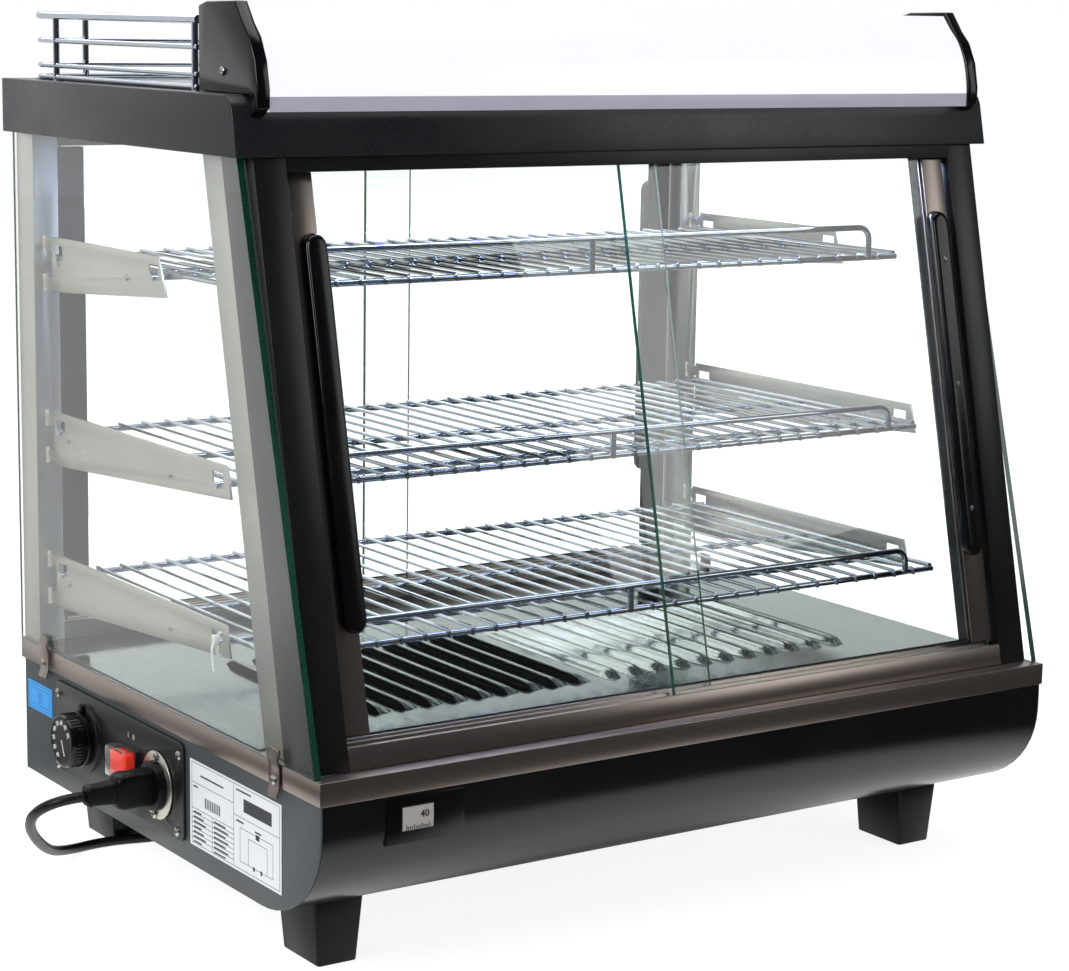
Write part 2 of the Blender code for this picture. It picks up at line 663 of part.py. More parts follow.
def make_foot(name, side, front, back):
    """A tapered foot; its outer side and the side towards the case's end stay in line."""
    x = side * (BODY_HALF_WIDTH - FOOT_INSET_X - FOOT_BOTTOM[0] / 2)
    y = (front + back) / 2
    rings = []
    for z, (width, depth) in ((0.0, FOOT_BOTTOM), (FOOT_HEIGHT, FOOT_TOP)):
        outline = rounded_outline((x - width / 2, y - depth / 2), (x + width / 2, y + depth / 2), 0.0025, 2)
        rings.append([(px, py, z) for px, py in outline])
    place_node(name, loft_mesh(rings), "black_plastic")


def make_feet():
    back = BODY_DEPTH - FOOT_BACK_INSET
    for side, word in ((-1, "left"), (1, "right")):
        make_foot(f"foot_front_{word}", side, FOOT_FRONT_Y, FOOT_FRONT_Y + FOOT_BOTTOM[1])
        make_foot(f"foot_rear_{word}", side, back - FOOT_BOTTOM[1], back)


# ---- Controls ----------------------------------------------------------------------------------


def ellipse(centre, radii, steps=24):
    points = []
    for i in range(steps):
        angle = 2 * math.pi * i / steps
        points.append((centre[0] + radii[0] * math.cos(angle), centre[1] + radii[1] * math.sin(angle)))
    return points


def around(centre, size):
    """Corners of a rectangle of that size about a centre."""
    low = (centre[0] - size[0] / 2, centre[1] - size[1] / 2)
    return low, (centre[0] + size[0] / 2, centre[1] + size[1] / 2)


def make_control_plate():
    """Plate with the knob's boss, the switch's frame and the openings behind them."""
    outline = rounded_outline(PANEL_LOW, PANEL_HIGH, PANEL_CORNER)
    plate = place_node("control_plate", prism_mesh(outline, "X", PLATE_FACE_X, PLATE_X), "black_paint")
    inside = PLATE_X - PANEL_SHEET / 2
    boss = ellipse(KNOB_CENTRE, (KNOB_BOSS_RADIUS, KNOB_BOSS_RADIUS))
    combine(plate, "UNION", prism_mesh(boss, "X", PLATE_FACE_X - KNOB_BOSS_DEPTH, inside), "boss")
    low, high = around(SWITCH_CENTRE, SWITCH_SIZE)
    frame = rounded_outline(low, high, SWITCH_FRAME)
    combine(plate, "UNION", prism_mesh(frame, "X", PLATE_FACE_X - SWITCH_FRAME_DEPTH, inside), "frame")
    behind = PLATE_X + PANEL_SHEET
    ahead = PLATE_FACE_X - KNOB_BOSS_DEPTH - PANEL_SHEET
    shaft = ellipse(KNOB_CENTRE, (KNOB_SHAFT_RADIUS + 2 * GAP, KNOB_SHAFT_RADIUS + 2 * GAP), 12)
    combine(plate, "DIFFERENCE", prism_mesh(shaft, "X", ahead, behind), "shaft_hole")
    low, high = around(SWITCH_CENTRE, (SWITCH_SIZE[0] - 2 * SWITCH_FRAME, SWITCH_SIZE[1] - 2 * SWITCH_FRAME))
    combine(plate, "DIFFERENCE", box_mesh((ahead, *low), (behind, *high)), "switch_hole")
    radius = INLET_BODY_RADIUS + 2 * GAP
    combine(plate, "DIFFERENCE", prism_mesh(ellipse(INLET_CENTRE, (radius, radius)), "X", ahead, behind), "inlet_hole")


def make_knob():
    pivot = (PLATE_FACE_X, *KNOB_CENTRE)
    back = PLATE_FACE_X - KNOB_BOSS_DEPTH - KNOB_TURN_CLEARANCE
    end = -(BODY_HALF_WIDTH - SHEET) + 0.0100
    profile = [
        (KNOB_FACE_X, KNOB_RADIUS - 0.0010),
        (KNOB_FACE_X + 0.0010, KNOB_RADIUS),
        (back, KNOB_RADIUS),
        (back, KNOB_SHAFT_RADIUS),
        (end, KNOB_SHAFT_RADIUS),
    ]
    place_node("thermostat_knob", turned_mesh(profile, 24, KNOB_CENTRE), "black_plastic", pivot, smooth=True)


def make_rocker():
    """The rocker tips about a vertical axis at the plate's face. It rests with its rear end in."""
    pivot = (PLATE_FACE_X, *SWITCH_CENTRE)
    play = 2 * SWITCH_FRAME + 2 * ROCKER_PLAY
    half_y = (SWITCH_SIZE[0] - play) / 2
    low_z, high_z = SWITCH_CENTRE[1] - (SWITCH_SIZE[1] - play) / 2, SWITCH_CENTRE[1] + (SWITCH_SIZE[1] - play) / 2
    centre = SWITCH_CENTRE[0]
    outline = [
        (PLATE_FACE_X + 0.0040, centre - half_y * 0.55),
        (PLATE_FACE_X - SWITCH_FRAME_DEPTH, centre - half_y + 0.0006),
        (PLATE_FACE_X - ROCKER_DEPTH, centre - half_y + 0.0020),
        (PLATE_FACE_X - ROCKER_DEPTH + 0.0030, centre),
        (PLATE_FACE_X - ROCKER_DEPTH, centre + half_y - 0.0020),
        (PLATE_FACE_X - SWITCH_FRAME_DEPTH, centre + half_y - 0.0006),
        (PLATE_FACE_X + 0.0040, centre + half_y * 0.55),
    ]
    bm = prism_mesh(outline, "Z", low_z, high_z)
    turn = Matrix.Rotation(ROCKER_TILT, 3, "Z")
    bmesh.ops.rotate(bm, cent=pivot, matrix=turn, verts=bm.verts)
    place_node("switch_rocker", bm, "red_plastic", pivot)


def make_inlet():
    """Flanged appliance inlet: oval flange, round collar and the body behind the plate."""
    face = PLATE_FACE_X - GAP
    flange_x = face - PANEL_SHEET
    flange = prism_mesh(ellipse(INLET_CENTRE, INLET_FLANGE), "X", flange_x, face)
    inlet = place_node("power_inlet", flange, "bright_steel")
    collar = ellipse(INLET_CENTRE, (INLET_COLLAR_RADIUS, INLET_COLLAR_RADIUS))
    combine(inlet, "UNION", prism_mesh(collar, "X", flange_x - INLET_COLLAR_DEPTH, face - PANEL_SHEET / 2), "collar")
    body = ellipse(INLET_CENTRE, (INLET_BODY_RADIUS, INLET_BODY_RADIUS))
    combine(inlet, "UNION", prism_mesh(body, "X", face - PANEL_SHEET / 2, face + INLET_BODY_DEPTH), "body")
    return flange_x - INLET_COLLAR_DEPTH


def make_thermometer():
    """Dial thermometer in the apron, with its face on the apron's front."""
    low = (THERMOMETER_LOW[0], APRON_FRONT_Y - 2 * GAP, THERMOMETER_LOW[1])
    high = (THERMOMETER_HIGH[0], THERMOMETER_DEPTH, THERMOMETER_HIGH[1])
    place_node("thermometer", box_mesh(low, high), "black_plastic")


# ---- Cord --------------------------------------------------------------------------------------


def smooth_route(points, spacing):
    """Points along a smooth curve through the route, evenly spaced."""
    points = [Vector(p) for p in points]
    fine = [points[0]]
    for i in range(len(points) - 1):
        before = points[max(i - 1, 0)]
        after = points[min(i + 2, len(points) - 1)]
        first = points[i] + (points[i + 1] - before) / 6
        second = points[i + 1] - (after - points[i]) / 6
        fine += interpolate_bezier(points[i], first, second, points[i + 1], 12)[1:]
    lengths = [0.0]
    for a, b in zip(fine, fine[1:]):
        lengths.append(lengths[-1] + (b - a).length)
    count = max(2, round(lengths[-1] / spacing))
    route = []
    k = 0
    for i in range(count + 1):
        target = lengths[-1] * i / count
        while k < len(fine) - 2 and lengths[k + 1] < target:
            k += 1
        share = (target - lengths[k]) / (lengths[k + 1] - lengths[k])
        route.append(fine[k].lerp(fine[k + 1], share))
    return route


def make_connector(start_x):
    """Moulded cord connector, pushed into the inlet, with a slimmer tail."""
    rings = []
    body_end = start_x - GAP - CONNECTOR_LENGTH
    tail_end = body_end - CONNECTOR_TAIL_LENGTH
    sections = (
        (start_x - GAP, CONNECTOR_SIZE, 0.0060),
        (body_end + 0.0040, CONNECTOR_SIZE, 0.0060),
        (body_end, (CONNECTOR_SIZE[0] - 0.0030, CONNECTOR_SIZE[1] - 0.0030), 0.0050),
        (body_end, CONNECTOR_TAIL_SIZE, 0.0045),
        (tail_end + 0.0030, CONNECTOR_TAIL_SIZE, 0.0045),
        (tail_end, (CONNECTOR_TAIL_SIZE[0] - 0.0020, CONNECTOR_TAIL_SIZE[1] - 0.0020), 0.0040),
    )
    for x, size, radius in sections:
        low, high = around(INLET_CENTRE, size)
        rings.append([(x, y, z) for y, z in rounded_outline(low, high, radius, 2)])
    place_node("cord_connector", loft_mesh(rings), "black_plastic")
    return tail_end


def make_coil():
    """The outer shape of the spare cord's coil: a ring that lies on the counter."""
    wide = COIL_TURNS_WIDE * CORD_RADIUS
    high = COIL_TURNS_HIGH * 2 * CORD_RADIUS
    outline = rounded_outline((COIL_RADIUS - wide, GAP / 3), (COIL_RADIUS + wide, GAP / 3 + high), 0.0030, 2)
    steps = 28
    bm = bmesh.new()
    loops = []
    for i in range(steps):
        angle = 2 * math.pi * i / steps
        c, s = math.cos(angle), math.sin(angle)
        loops.append([bm.verts.new((COIL_CENTRE[0] + r * c, COIL_CENTRE[1] + r * s, z)) for r, z in outline])
    for k in range(steps):
        a, b = loops[k], loops[(k + 1) % steps]
        for i in range(len(a)):
            j = (i + 1) % len(a)
            bm.faces.new((a[i], a[j], b[j], b[i]))
    bmesh.ops.recalc_face_normals(bm, faces=bm.faces)
    place_node("cord_coil", bm, "rubber", smooth=True)


def make_plug():
    """Two-pin mains plug on the counter, in line with the cord where that leaves the coil's near side."""
    centre_y = COIL_CENTRE[1] - COIL_RADIUS - CORD_RADIUS
    centre_z = PLUG_RADIUS + GAP
    start = COIL_CENTRE[0] + PLUG_REACH
    tail_z = 3 * CORD_RADIUS
    rings = []
    sections = (
        (start, CORD_RADIUS + 0.0006, tail_z + 0.0006),
        (start + PLUG_TAIL_LENGTH, PLUG_TAIL_RADIUS, centre_z - 0.0040),
        (start + PLUG_TAIL_LENGTH + 0.0080, PLUG_RADIUS - 0.0020, centre_z),
        (start + PLUG_TAIL_LENGTH + 0.0120, PLUG_RADIUS, centre_z),
        (start + PLUG_TAIL_LENGTH + PLUG_LENGTH, PLUG_RADIUS, centre_z),
    )
    steps = 16
    for x, radius, z in sections:
        ring = []
        for i in range(steps):
            angle = 2 * math.pi * i / steps
            ring.append((x, centre_y + radius * math.cos(angle), z + radius * math.sin(angle)))
        rings.append(ring)
    plug = place_node("mains_plug", loft_mesh(rings), "black_plastic", smooth=True)
    face = sections[-1][0]
    for side in (-1, 1):
        spot = (centre_y + side * PLUG_PIN_SPACING / 2, centre_z)
        pin = [(face - 0.0050, PLUG_PIN_RADIUS), (face + PLUG_PIN_LENGTH, PLUG_PIN_RADIUS)]
        combine(plug, "UNION", turned_mesh(pin, 8, spot), f"pin_{side + 1}")


# ---- Cabinet -----------------------------------------------------------------------------------


def make_side_glass(name, side):
    top = LINER_LOW_Z
    front_top = SIDE_GLASS_FRONT_LOW + (LEAN + SIDE_GLASS_EXTRA_LEAN) * (top - RIM_TOP_Z)
    low = RIM_TOP_Z + GAP
    outline = [(SIDE_GLASS_FRONT_LOW, low), (SIDE_GLASS_BACK_Y, low), (SIDE_GLASS_BACK_Y, top), (front_top, top)]
    bm = prism_mesh(outline, "X", side * SIDE_GLASS_X, side * (SIDE_GLASS_X + GLASS))
    place_node(name, bm, "glass")


def make_glass_clip(name, side, y):
    """Wavy spring clip: screwed to the rim's skirt, its upper end over the glass."""
    out = SIDE_GLASS_X + GLASS
    skirt = RIM_HALF_WIDTH
    mid = RIM_TOP_Z - RIM_HEIGHT / 2
    steps = (
        (mid - 0.0150, skirt + 0.0030),
        (mid - 0.0080, skirt + 0.0006),
        (mid + 0.0050, skirt + 0.0006),
        (mid + 0.0120, max(out, skirt) + 0.0022),
        (mid + 0.0170, out + 0.0006),
        (mid + 0.0190, out + 0.0014),
    )
    outline = [(x, z) for z, x in steps] + [(x + SHEET, z) for z, x in reversed(steps)]
    bm = mirrored(prism_mesh(outline, "Y", y - CLIP_WIDTH / 2, y + CLIP_WIDTH / 2), side)
    bmesh.ops.recalc_face_normals(bm, faces=bm.faces)
    place_node(name, bm, "bright_steel")


def make_front_post(name, side):
    """Folded post: front face, painted side along the glass, a bare strip behind it and a return."""
    t, inner, outer, strip = POST_SHEET, POST_INNER_X, POST_OUTER_X, POST_STRIP_X
    step = outer - strip
    outline = [
        (outer, 0.0),
        (outer, POST_SIDE_DEPTH),
        (strip, POST_SIDE_DEPTH + step),
        (strip, POST_STRIP_DEPTH),
        (strip - t, POST_STRIP_DEPTH),
        (strip - t, POST_SIDE_DEPTH + step - t / 2),
        (outer - t, POST_SIDE_DEPTH - t / 2),
        (outer - t, t),
        (inner + t, t),
        (inner + t, POST_RETURN_DEPTH),
        (inner, POST_RETURN_DEPTH),
        (inner, 0.0),
    ]
    bm = mirrored(prism_mesh(outline, "Z", RIM_TOP_Z + GAP, LINER_LOW_Z - GAP), side)
    bmesh.ops.recalc_face_normals(bm, faces=bm.faces)
    lean_back(bm)
    place_node(name, bm, "black_paint")


def bracket_tab_heights(level):
    """Middle heights of the two hooks on a shelf's brackets."""
    top = DECK_TOP_Z + SHELF_RISES[level] + BRACKET_RISE
    return top - 0.0070, top - BRACKET_BACK_HEIGHT + 0.0070


def make_upright(name, side):
    """Slotted rear upright: front face with slots and two sides that run back beside the rear doors."""
    t, inner, outer = UPRIGHT_SHEET, UPRIGHT_INNER_X, UPRIGHT_OUTER_X
    front, back = UPRIGHT_FRONT_Y, UPRIGHT_BACK_Y
    outline = [
        (outer, front),
        (outer, back),
        (outer - t, back),
        (outer - t, front + t),
        (inner + t, front + t),
        (inner + t, back),
        (inner, back),
        (inner, front),
    ]
    bm = mirrored(prism_mesh(outline, "Z", RIM_TOP_Z + GAP, LINER_LOW_Z - GAP), side)
    bmesh.ops.recalc_face_normals(bm, faces=bm.faces)
    upright = place_node(name, bm, "bright_steel")
    for level in range(len(SHELF_RISES)):
        for k, height in enumerate(bracket_tab_heights(level)):
            x = side * BRACKET_X
            low = (x - SLOT_WIDTH / 2, front - t, height - SLOT_HEIGHT / 2)
            high = (x + SLOT_WIDTH / 2, front + 3 * t, height + SLOT_HEIGHT / 2)
            combine(upright, "DIFFERENCE", box_mesh(low, high), f"slot_{level}_{k}")


def track_outline(direction, base_z, floor_z, lip_z):
    """Section of a two-groove track, as (depth, height). Its grooves open towards lip_z."""
    walls = (TRACK_FRONT_WALL, TRACK_MIDDLE_WALL, TRACK_BACK_WALL)
    points = [(0.0, base_z), (0.0, lip_z)]
    u = 0.0
    for i, wall in enumerate(walls):
        u += wall
        points.append((u, lip_z))
        if i < 2:
            points += [(u, floor_z), (u + GROOVE, floor_z), (u + GROOVE, lip_z)]
            u += GROOVE
    points.append((u, base_z))
    return [(direction * depth, height) for depth, height in points]


def make_tracks():
    """Lower and upper tracks of the front and rear doors."""
    bottom = RIM_TOP_Z + GAP
    top = LINER_LOW_Z - GAP
    levels = {
        "lower": (bottom, bottom + TRACK_BASE, TRACK_TOP_Z, "stainless"),
        "upper": (top, DOOR_HIGH_Z + 0.0030, UPPER_TRACK_LOW_Z, "black_paint"),
    }
    for word, (base, floor, lip, finish) in levels.items():
        half = FRONT_TRACK_HALF_WIDTH
        bm = prism_mesh(track_outline(1, base, floor, lip), "X", -half, half)
        lean_back(bm)
        place_node(f"front_track_{word}", bm, finish)
        half = REAR_TRACK_HALF_WIDTH
        bm = prism_mesh(track_outline(-1, base, floor, lip), "X", -half, half)
        bmesh.ops.recalc_face_normals(bm, faces=bm.faces)
        bmesh.ops.translate(bm, vec=(0.0, REAR_TRACK_Y + TRACK_DEPTH, 0.0), verts=bm.verts)
        place_node(f"rear_track_{word}", bm, finish)


def make_liner():
    """Ceiling sheet inside the roof; it rests on the posts, the uprights and the side glass."""
    half = ROOF_HALF_WIDTH - SHEET - GAP
    front = ROOF_FRONT_Y + LEAN * LINER_RISE + SHEET * 1.2 + 2 * GAP
    back = ROOF_BACK_Y - SHEET - GAP
    place_node("ceiling_liner", box_mesh((-half, front, LINER_LOW_Z), (half, back, LINER_LOW_Z + SHEET)), "bright_steel")


def make_lamp():
    """LED strip under the front of the ceiling; it lights the cabinet and, through the roof, the sign."""
    y = front_y(LINER_LOW_Z) + TRACK_DEPTH + 0.0150
    top = LINER_LOW_Z - GAP
    place_node("lamp_strip", box_mesh((-LAMP_HALF_LENGTH, y, top - 0.0090), (LAMP_HALF_LENGTH, y + 0.0220, top)), "lamp")


def make_roof():
    """Sheet housing, open below, with a slanted front and a soft front edge."""
    x, back, low, top = ROOF_HALF_WIDTH, ROOF_BACK_Y, ROOF_LOW_Z, ROOF_TOP_Z
    top_front = ROOF_FRONT_Y + LEAN * ROOF_HEIGHT
    bm = bmesh.new()
    rings = []
    for front, z in ((ROOF_FRONT_Y, low), (top_front, top)):
        rings.append([bm.verts.new(p) for p in ((-x, front, z), (x, front, z), (x, back, z), (-x, back, z))])
    lower, upper = rings
    for i in range(4):
        j = (i + 1) % 4
        bm.faces.new((lower[i], lower[j], upper[j], upper[i]))
    bm.faces.new(upper)
    bm.edges.ensure_lookup_table()
    edge = [e for e in bm.edges if set(e.verts) == {upper[0], upper[1]}]
    bmesh.ops.bevel(bm, geom=edge, offset=ROOF_EDGE_RADIUS, segments=3, profile=0.5, affect="EDGES")
    bmesh.ops.recalc_face_normals(bm, faces=bm.faces)
    if max(bm.faces, key=lambda f: f.calc_area()).normal.z < 0:
        bmesh.ops.reverse_faces(bm, faces=bm.faces)
    roof = place_node("roof_housing", bm, "black_paint")
    give_thickness(roof, SHEET)


def on_roof(points):
    """Outline points that are given from the roof's front and top, in case coordinates."""
    return [(ROOF_FRONT_Y + y, ROOF_TOP_Z + z) for y, z in points]


def make_sign():
    """Lit sign over the front: two end caps, a curved panel and a folded housing."""
    seat = ROOF_TOP_Z + GAP
    low = ROOF_TOP_Z - SIGN_DROP
    roof_low = ROOF_FRONT_Y + LEAN * (low - ROOF_LOW_Z) - 2 * GAP
    roof_high = ROOF_FRONT_Y + LEAN * (seat - ROOF_LOW_Z) - 2 * GAP
    back_y, back_z = on_roof([SIGN_BACK])[0]
    outline = on_roof(CAP_FRONT) + [(back_y, back_z), (back_y, seat), (roof_high, seat), (roof_low, low)]
    inner = SIGN_HALF_WIDTH - CAP_WIDTH
    for side, word in ((-1, "left"), (1, "right")):
        bm = prism_mesh(outline, "X", side * inner, side * SIGN_HALF_WIDTH)
        place_node(f"sign_cap_{word}", bm, "black_plastic")
    half = inner - GAP
    outside = on_roof(PANEL_CURVE)
    inside = [(y + SIGN_SHEET, z - 0.3 * SIGN_SHEET) for y, z in outside[1:]]
    panel = outside + inside[::-1] + [(outside[0][0] + SIGN_SHEET, outside[0][1])]
    place_node("sign_panel", prism_mesh(panel, "X", -half, half), "acrylic", smooth=True)
    front = outside[-1][0] + SIGN_SHEET + 2 * GAP
    back, top = back_y - 0.0030, back_z
    fold = [
        (back, seat),
        (back, top),
        (front, top),
        (front, top - SHEET),
        (back - SHEET, top - SHEET),
        (back - SHEET, seat),
    ]
    place_node("sign_housing", prism_mesh(fold, "X", -half, half), "black_paint")


def rod_mesh(path, radius, sides=8):
    """A round rod along a path of points, square to it at each point."""
    path = [Vector(p) for p in path]
    rings = []
    for i, point in enumerate(path):
        ahead = (path[min(i + 1, len(path) - 1)] - point).normalized()
        behind = (point - path[max(i - 1, 0)]).normalized()
        along = (ahead + behind).normalized()
        up = Vector((0.0, 1.0, 0.0)) if abs(along.z) > 0.9 else Vector((0.0, 0.0, 1.0))
        across = along.cross(up).normalized()
        up = across.cross(along)
        stretch = 1.0
        if ahead.length > 0 and behind.length > 0:
            stretch = 1.0 / max(0.7, math.sqrt((1.0 + ahead.dot(behind)) / 2))
        ring = []
        for k in range(sides):
            angle = 2 * math.pi * (k + 0.5) / sides
            ring.append(point + stretch * radius * math.cos(angle) * across + radius * math.sin(angle) * up)
        rings.append(ring)
    return loft_mesh(rings)


def merged(meshes):
    """Several bmeshes in one."""
    whole = bmesh.new()
    for bm in meshes:
        part = bpy.data.meshes.new("part")
        bm.to_mesh(part)
        bm.free()
        whole.from_mesh(part)
        bpy.data.meshes.remove(part)
    return whole


def rail_plan():
    """The guard rail's course round the roof's top, as (X, Y)."""
    x, back, corner = RAIL_X, RAIL_BACK_Y, RAIL_CORNER
    left = [(-x, RAIL_FRONT_Y)]
    for i in range(5):
        angle = math.pi - math.pi / 8 * i
        left.append((-x + corner + corner * math.cos(angle), back - corner + corner * math.sin(angle)))
    return left + [(-px, py) for px, py in reversed(left)]


def make_guard_rail():
    """Rods and legs round the roof's top."""
    seat = ROOF_TOP_Z + GAP
    plan = rail_plan()
    rods = []
    for height, radius in RAIL_RODS:
        rods.append(rod_mesh([(x, y, seat + height) for x, y in plan], radius))
    top = seat + RAIL_RODS[-1][0]
    legs = []
    for side in (-1, 1):
        for x, y in (
            (RAIL_X, RAIL_FRONT_Y + 0.0050),
            (RAIL_X, RAIL_BACK_Y - RAIL_LEG_INSET),
            (RAIL_X - RAIL_LEG_INSET, RAIL_BACK_Y),
        ):
            legs.append(rod_mesh([(side * x, y, seat), (side * x, y, top)], RAIL_LEG_RADIUS))
    rail = place_node("guard_rail", rods[-1], "chrome", smooth=False)
    combine(rail, "UNION", merged(rods[:-1] + legs), "rods")
    rail.modifiers["rods"].use_self = True


# ---- Doors -------------------------------------------------------------------------------------


def handle_mesh(x, u, depth_sign):
    """A long grip with round ends, standing on a door's profile. U is its back face."""
    half, reach = HANDLE_WIDTH / 2, depth_sign * HANDLE_DEPTH
    outline = []
    for end, centre in ((1, HANDLE_HIGH_Z - half), (-1, HANDLE_LOW_Z + half)):
        for i in range(HANDLE_END_STEPS + 1):
            angle = math.pi * i / HANDLE_END_STEPS
            outline.append((x + end * half * math.cos(angle), centre + end * half * math.sin(angle)))
    middle_x, middle_z = x, (HANDLE_HIGH_Z + HANDLE_LOW_Z) / 2
    rings = []
    for share, shrink in ((0.0, 0.0), (0.80, 0.0), (1.0, 0.0025)):
        ring = []
        for px, pz in outline:
            sx = 1 - shrink / half
            sz = 1 - shrink / (middle_z - HANDLE_LOW_Z)
            ring.append((middle_x + (px - middle_x) * sx, u + reach * share, middle_z + (pz - middle_z) * sz))
        rings.append(ring)
    return loft_mesh(rings)


def profile_mesh(outer_x, side, u, depth):
    """Edge profile round a door glass, drawn as a bar with a groove for the glass."""
    inner = outer_x - side * PROFILE_WIDTH
    wall = (depth - DOOR_GLASS) / 2 - GAP
    floor = outer_x - side * 0.0020
    outline = [
        (outer_x, u),
        (outer_x, u + depth),
        (inner, u + depth),
        (inner, u + depth - wall),
        (floor, u + depth - wall),
        (floor, u + wall),
        (inner, u + wall),
        (inner, u),
    ]
    bm = prism_mesh(outline, "Z", PROFILE_LOW_Z, PROFILE_HIGH_Z)
    return bm


def door_glass_mesh(side, outer_x, glass_y):
    """A door's pane, from inside its edge profile to past the middle of the case."""
    low, high = sorted((side * (outer_x - 0.0020 - GAP), -side * DOOR_OVERLAP / 2))
    return box_mesh((low, glass_y, DOOR_LOW_Z), (high, glass_y + DOOR_GLASS, DOOR_HIGH_Z))


def make_front_door(word, side, glass_u):
    """Front sliding door: pane, edge profile and grip."""
    outer = side * FRONT_DOOR_OUTER_X
    profile_u = glass_u + (DOOR_GLASS - PROFILE_DEPTH) / 2
    grip_x = outer - side * HANDLE_INSET
    pieces = {
        "glass": (door_glass_mesh(side, FRONT_DOOR_OUTER_X, glass_u), "glass"),
        "profile": (profile_mesh(outer, side, profile_u, PROFILE_DEPTH), "stainless"),
        "handle": (handle_mesh(grip_x, profile_u - GAP, -1), "black_plastic"),
    }
    for piece, (bm, finish) in pieces.items():
        lean_back(bm)
        place_node(f"front_door_{word}_{piece}", bm, finish)


def make_rear_door(word, side, glass_y):
    """Rear sliding door: pane, and an edge profile that is one piece with its grip."""
    outer = side * REAR_DOOR_OUTER_X
    place_node(f"rear_door_{word}_glass", door_glass_mesh(side, REAR_DOOR_OUTER_X, glass_y), "glass")
    profile_y = glass_y + (DOOR_GLASS - PROFILE_DEPTH) / 2
    profile = profile_mesh(outer, side, profile_y, PROFILE_DEPTH)
    grip = place_node(f"rear_door_{word}_handle", profile, "black_plastic")
    bm = handle_mesh(outer - side * HANDLE_INSET, profile_y + PROFILE_DEPTH - 2 * GAP, 1)
    combine(grip, "UNION", bm, "grip")


def make_doors():
    make_front_door("left", -1, INNER_GLASS_U)
    make_front_door("right", 1, OUTER_GLASS_U)
    make_rear_door("left", -1, REAR_DOOR_Y)
    make_rear_door("right", 1, REAR_DOOR_Y + DOOR_PITCH)


# ---- Shelves -----------------------------------------------------------------------------------


def bars(centres, width):
    """Edges of bars about their centres, as a sorted list."""
    edges = []
    for centre in sorted(centres):
        edges += [centre - width / 2, centre + width / 2]
    return edges


def make_shelf(level):
    """Wire shelf: wires front to back over rods, with a raised rail along its front."""
    top = DECK_TOP_Z + SHELF_RISES[level]
    front = SHELF_FRONT_Y[level]
    middle = (SHELF_WIRES - 1) / 2
    wires = [(i - middle) * SHELF_WIRE_PITCH for i in range(SHELF_WIRES)]
    side = SHELF_HALF_WIDTH - SHELF_WIRE / 2
    reach = BRACKET_X + BRACKET_SHEET / 2 + 0.0020
    columns = [-reach] + bars([-side] + wires + [side], SHELF_WIRE) + [reach]
    carried = BRACKET_FRONT_Y[level] + BRACKET_HOLE_INSET
    rods = sorted({SHELF_BACK_Y, SHELF_MIDDLE_ROD_Y[level], carried})
    rows = [front] + bars(rods, SHELF_ROD)
    through = {2 * rods.index(carried) + 1, 2 * rods.index(SHELF_BACK_Y) + 1}

    def filled(i, j):
        if i in (0, len(columns) - 2):
            return j in through
        return i % 2 == 1 or j % 2 == 1

    bm = lattice_mesh(columns, rows, filled, lambda x, y: (x, y, top))
    bmesh.ops.recalc_face_normals(bm, faces=bm.faces)
    if next(iter(bm.faces)).normal.z < 0:
        bmesh.ops.reverse_faces(bm, faces=bm.faces)
    shelf = place_node(f"shelf_{SHELF_NAMES[level]}", bm, "chrome")
    give_thickness(shelf, SHELF_WIRE)
    make_shelf_rail(shelf, level, top, front)


def make_shelf_rail(shelf, level, top, front):
    """The front rod and the rail above it, joined to the shelf."""
    low, rod = top - SHELF_WIRE - 0.0010, SHELF_ROD
    high = top + SHELF_RAIL_RISE[level]
    half, wide = SHELF_RAIL_HALF_WIDTH, SHELF_HALF_WIDTH
    columns = [-wide] + bars([-half, 0.0, half], rod) + [wide]
    rows = [low, low + rod, high - rod, high]

    def filled(i, j):
        if i in (0, len(columns) - 2):
            return j == 0
        return j != 1 or i % 2 == 1

    y = front + rod / 2 - 0.0005
    bm = lattice_mesh(columns, rows, filled, lambda x, z: (x, y, z))
    solid = bmesh.ops.extrude_face_region(bm, geom=bm.faces[:])
    moved = [v for v in solid["geom"] if isinstance(v, bmesh.types.BMVert)]
    bmesh.ops.translate(bm, vec=(0.0, -rod, 0.0), verts=moved)
    bmesh.ops.recalc_face_normals(bm, faces=bm.faces)
    combine(shelf, "UNION", bm, "rail")


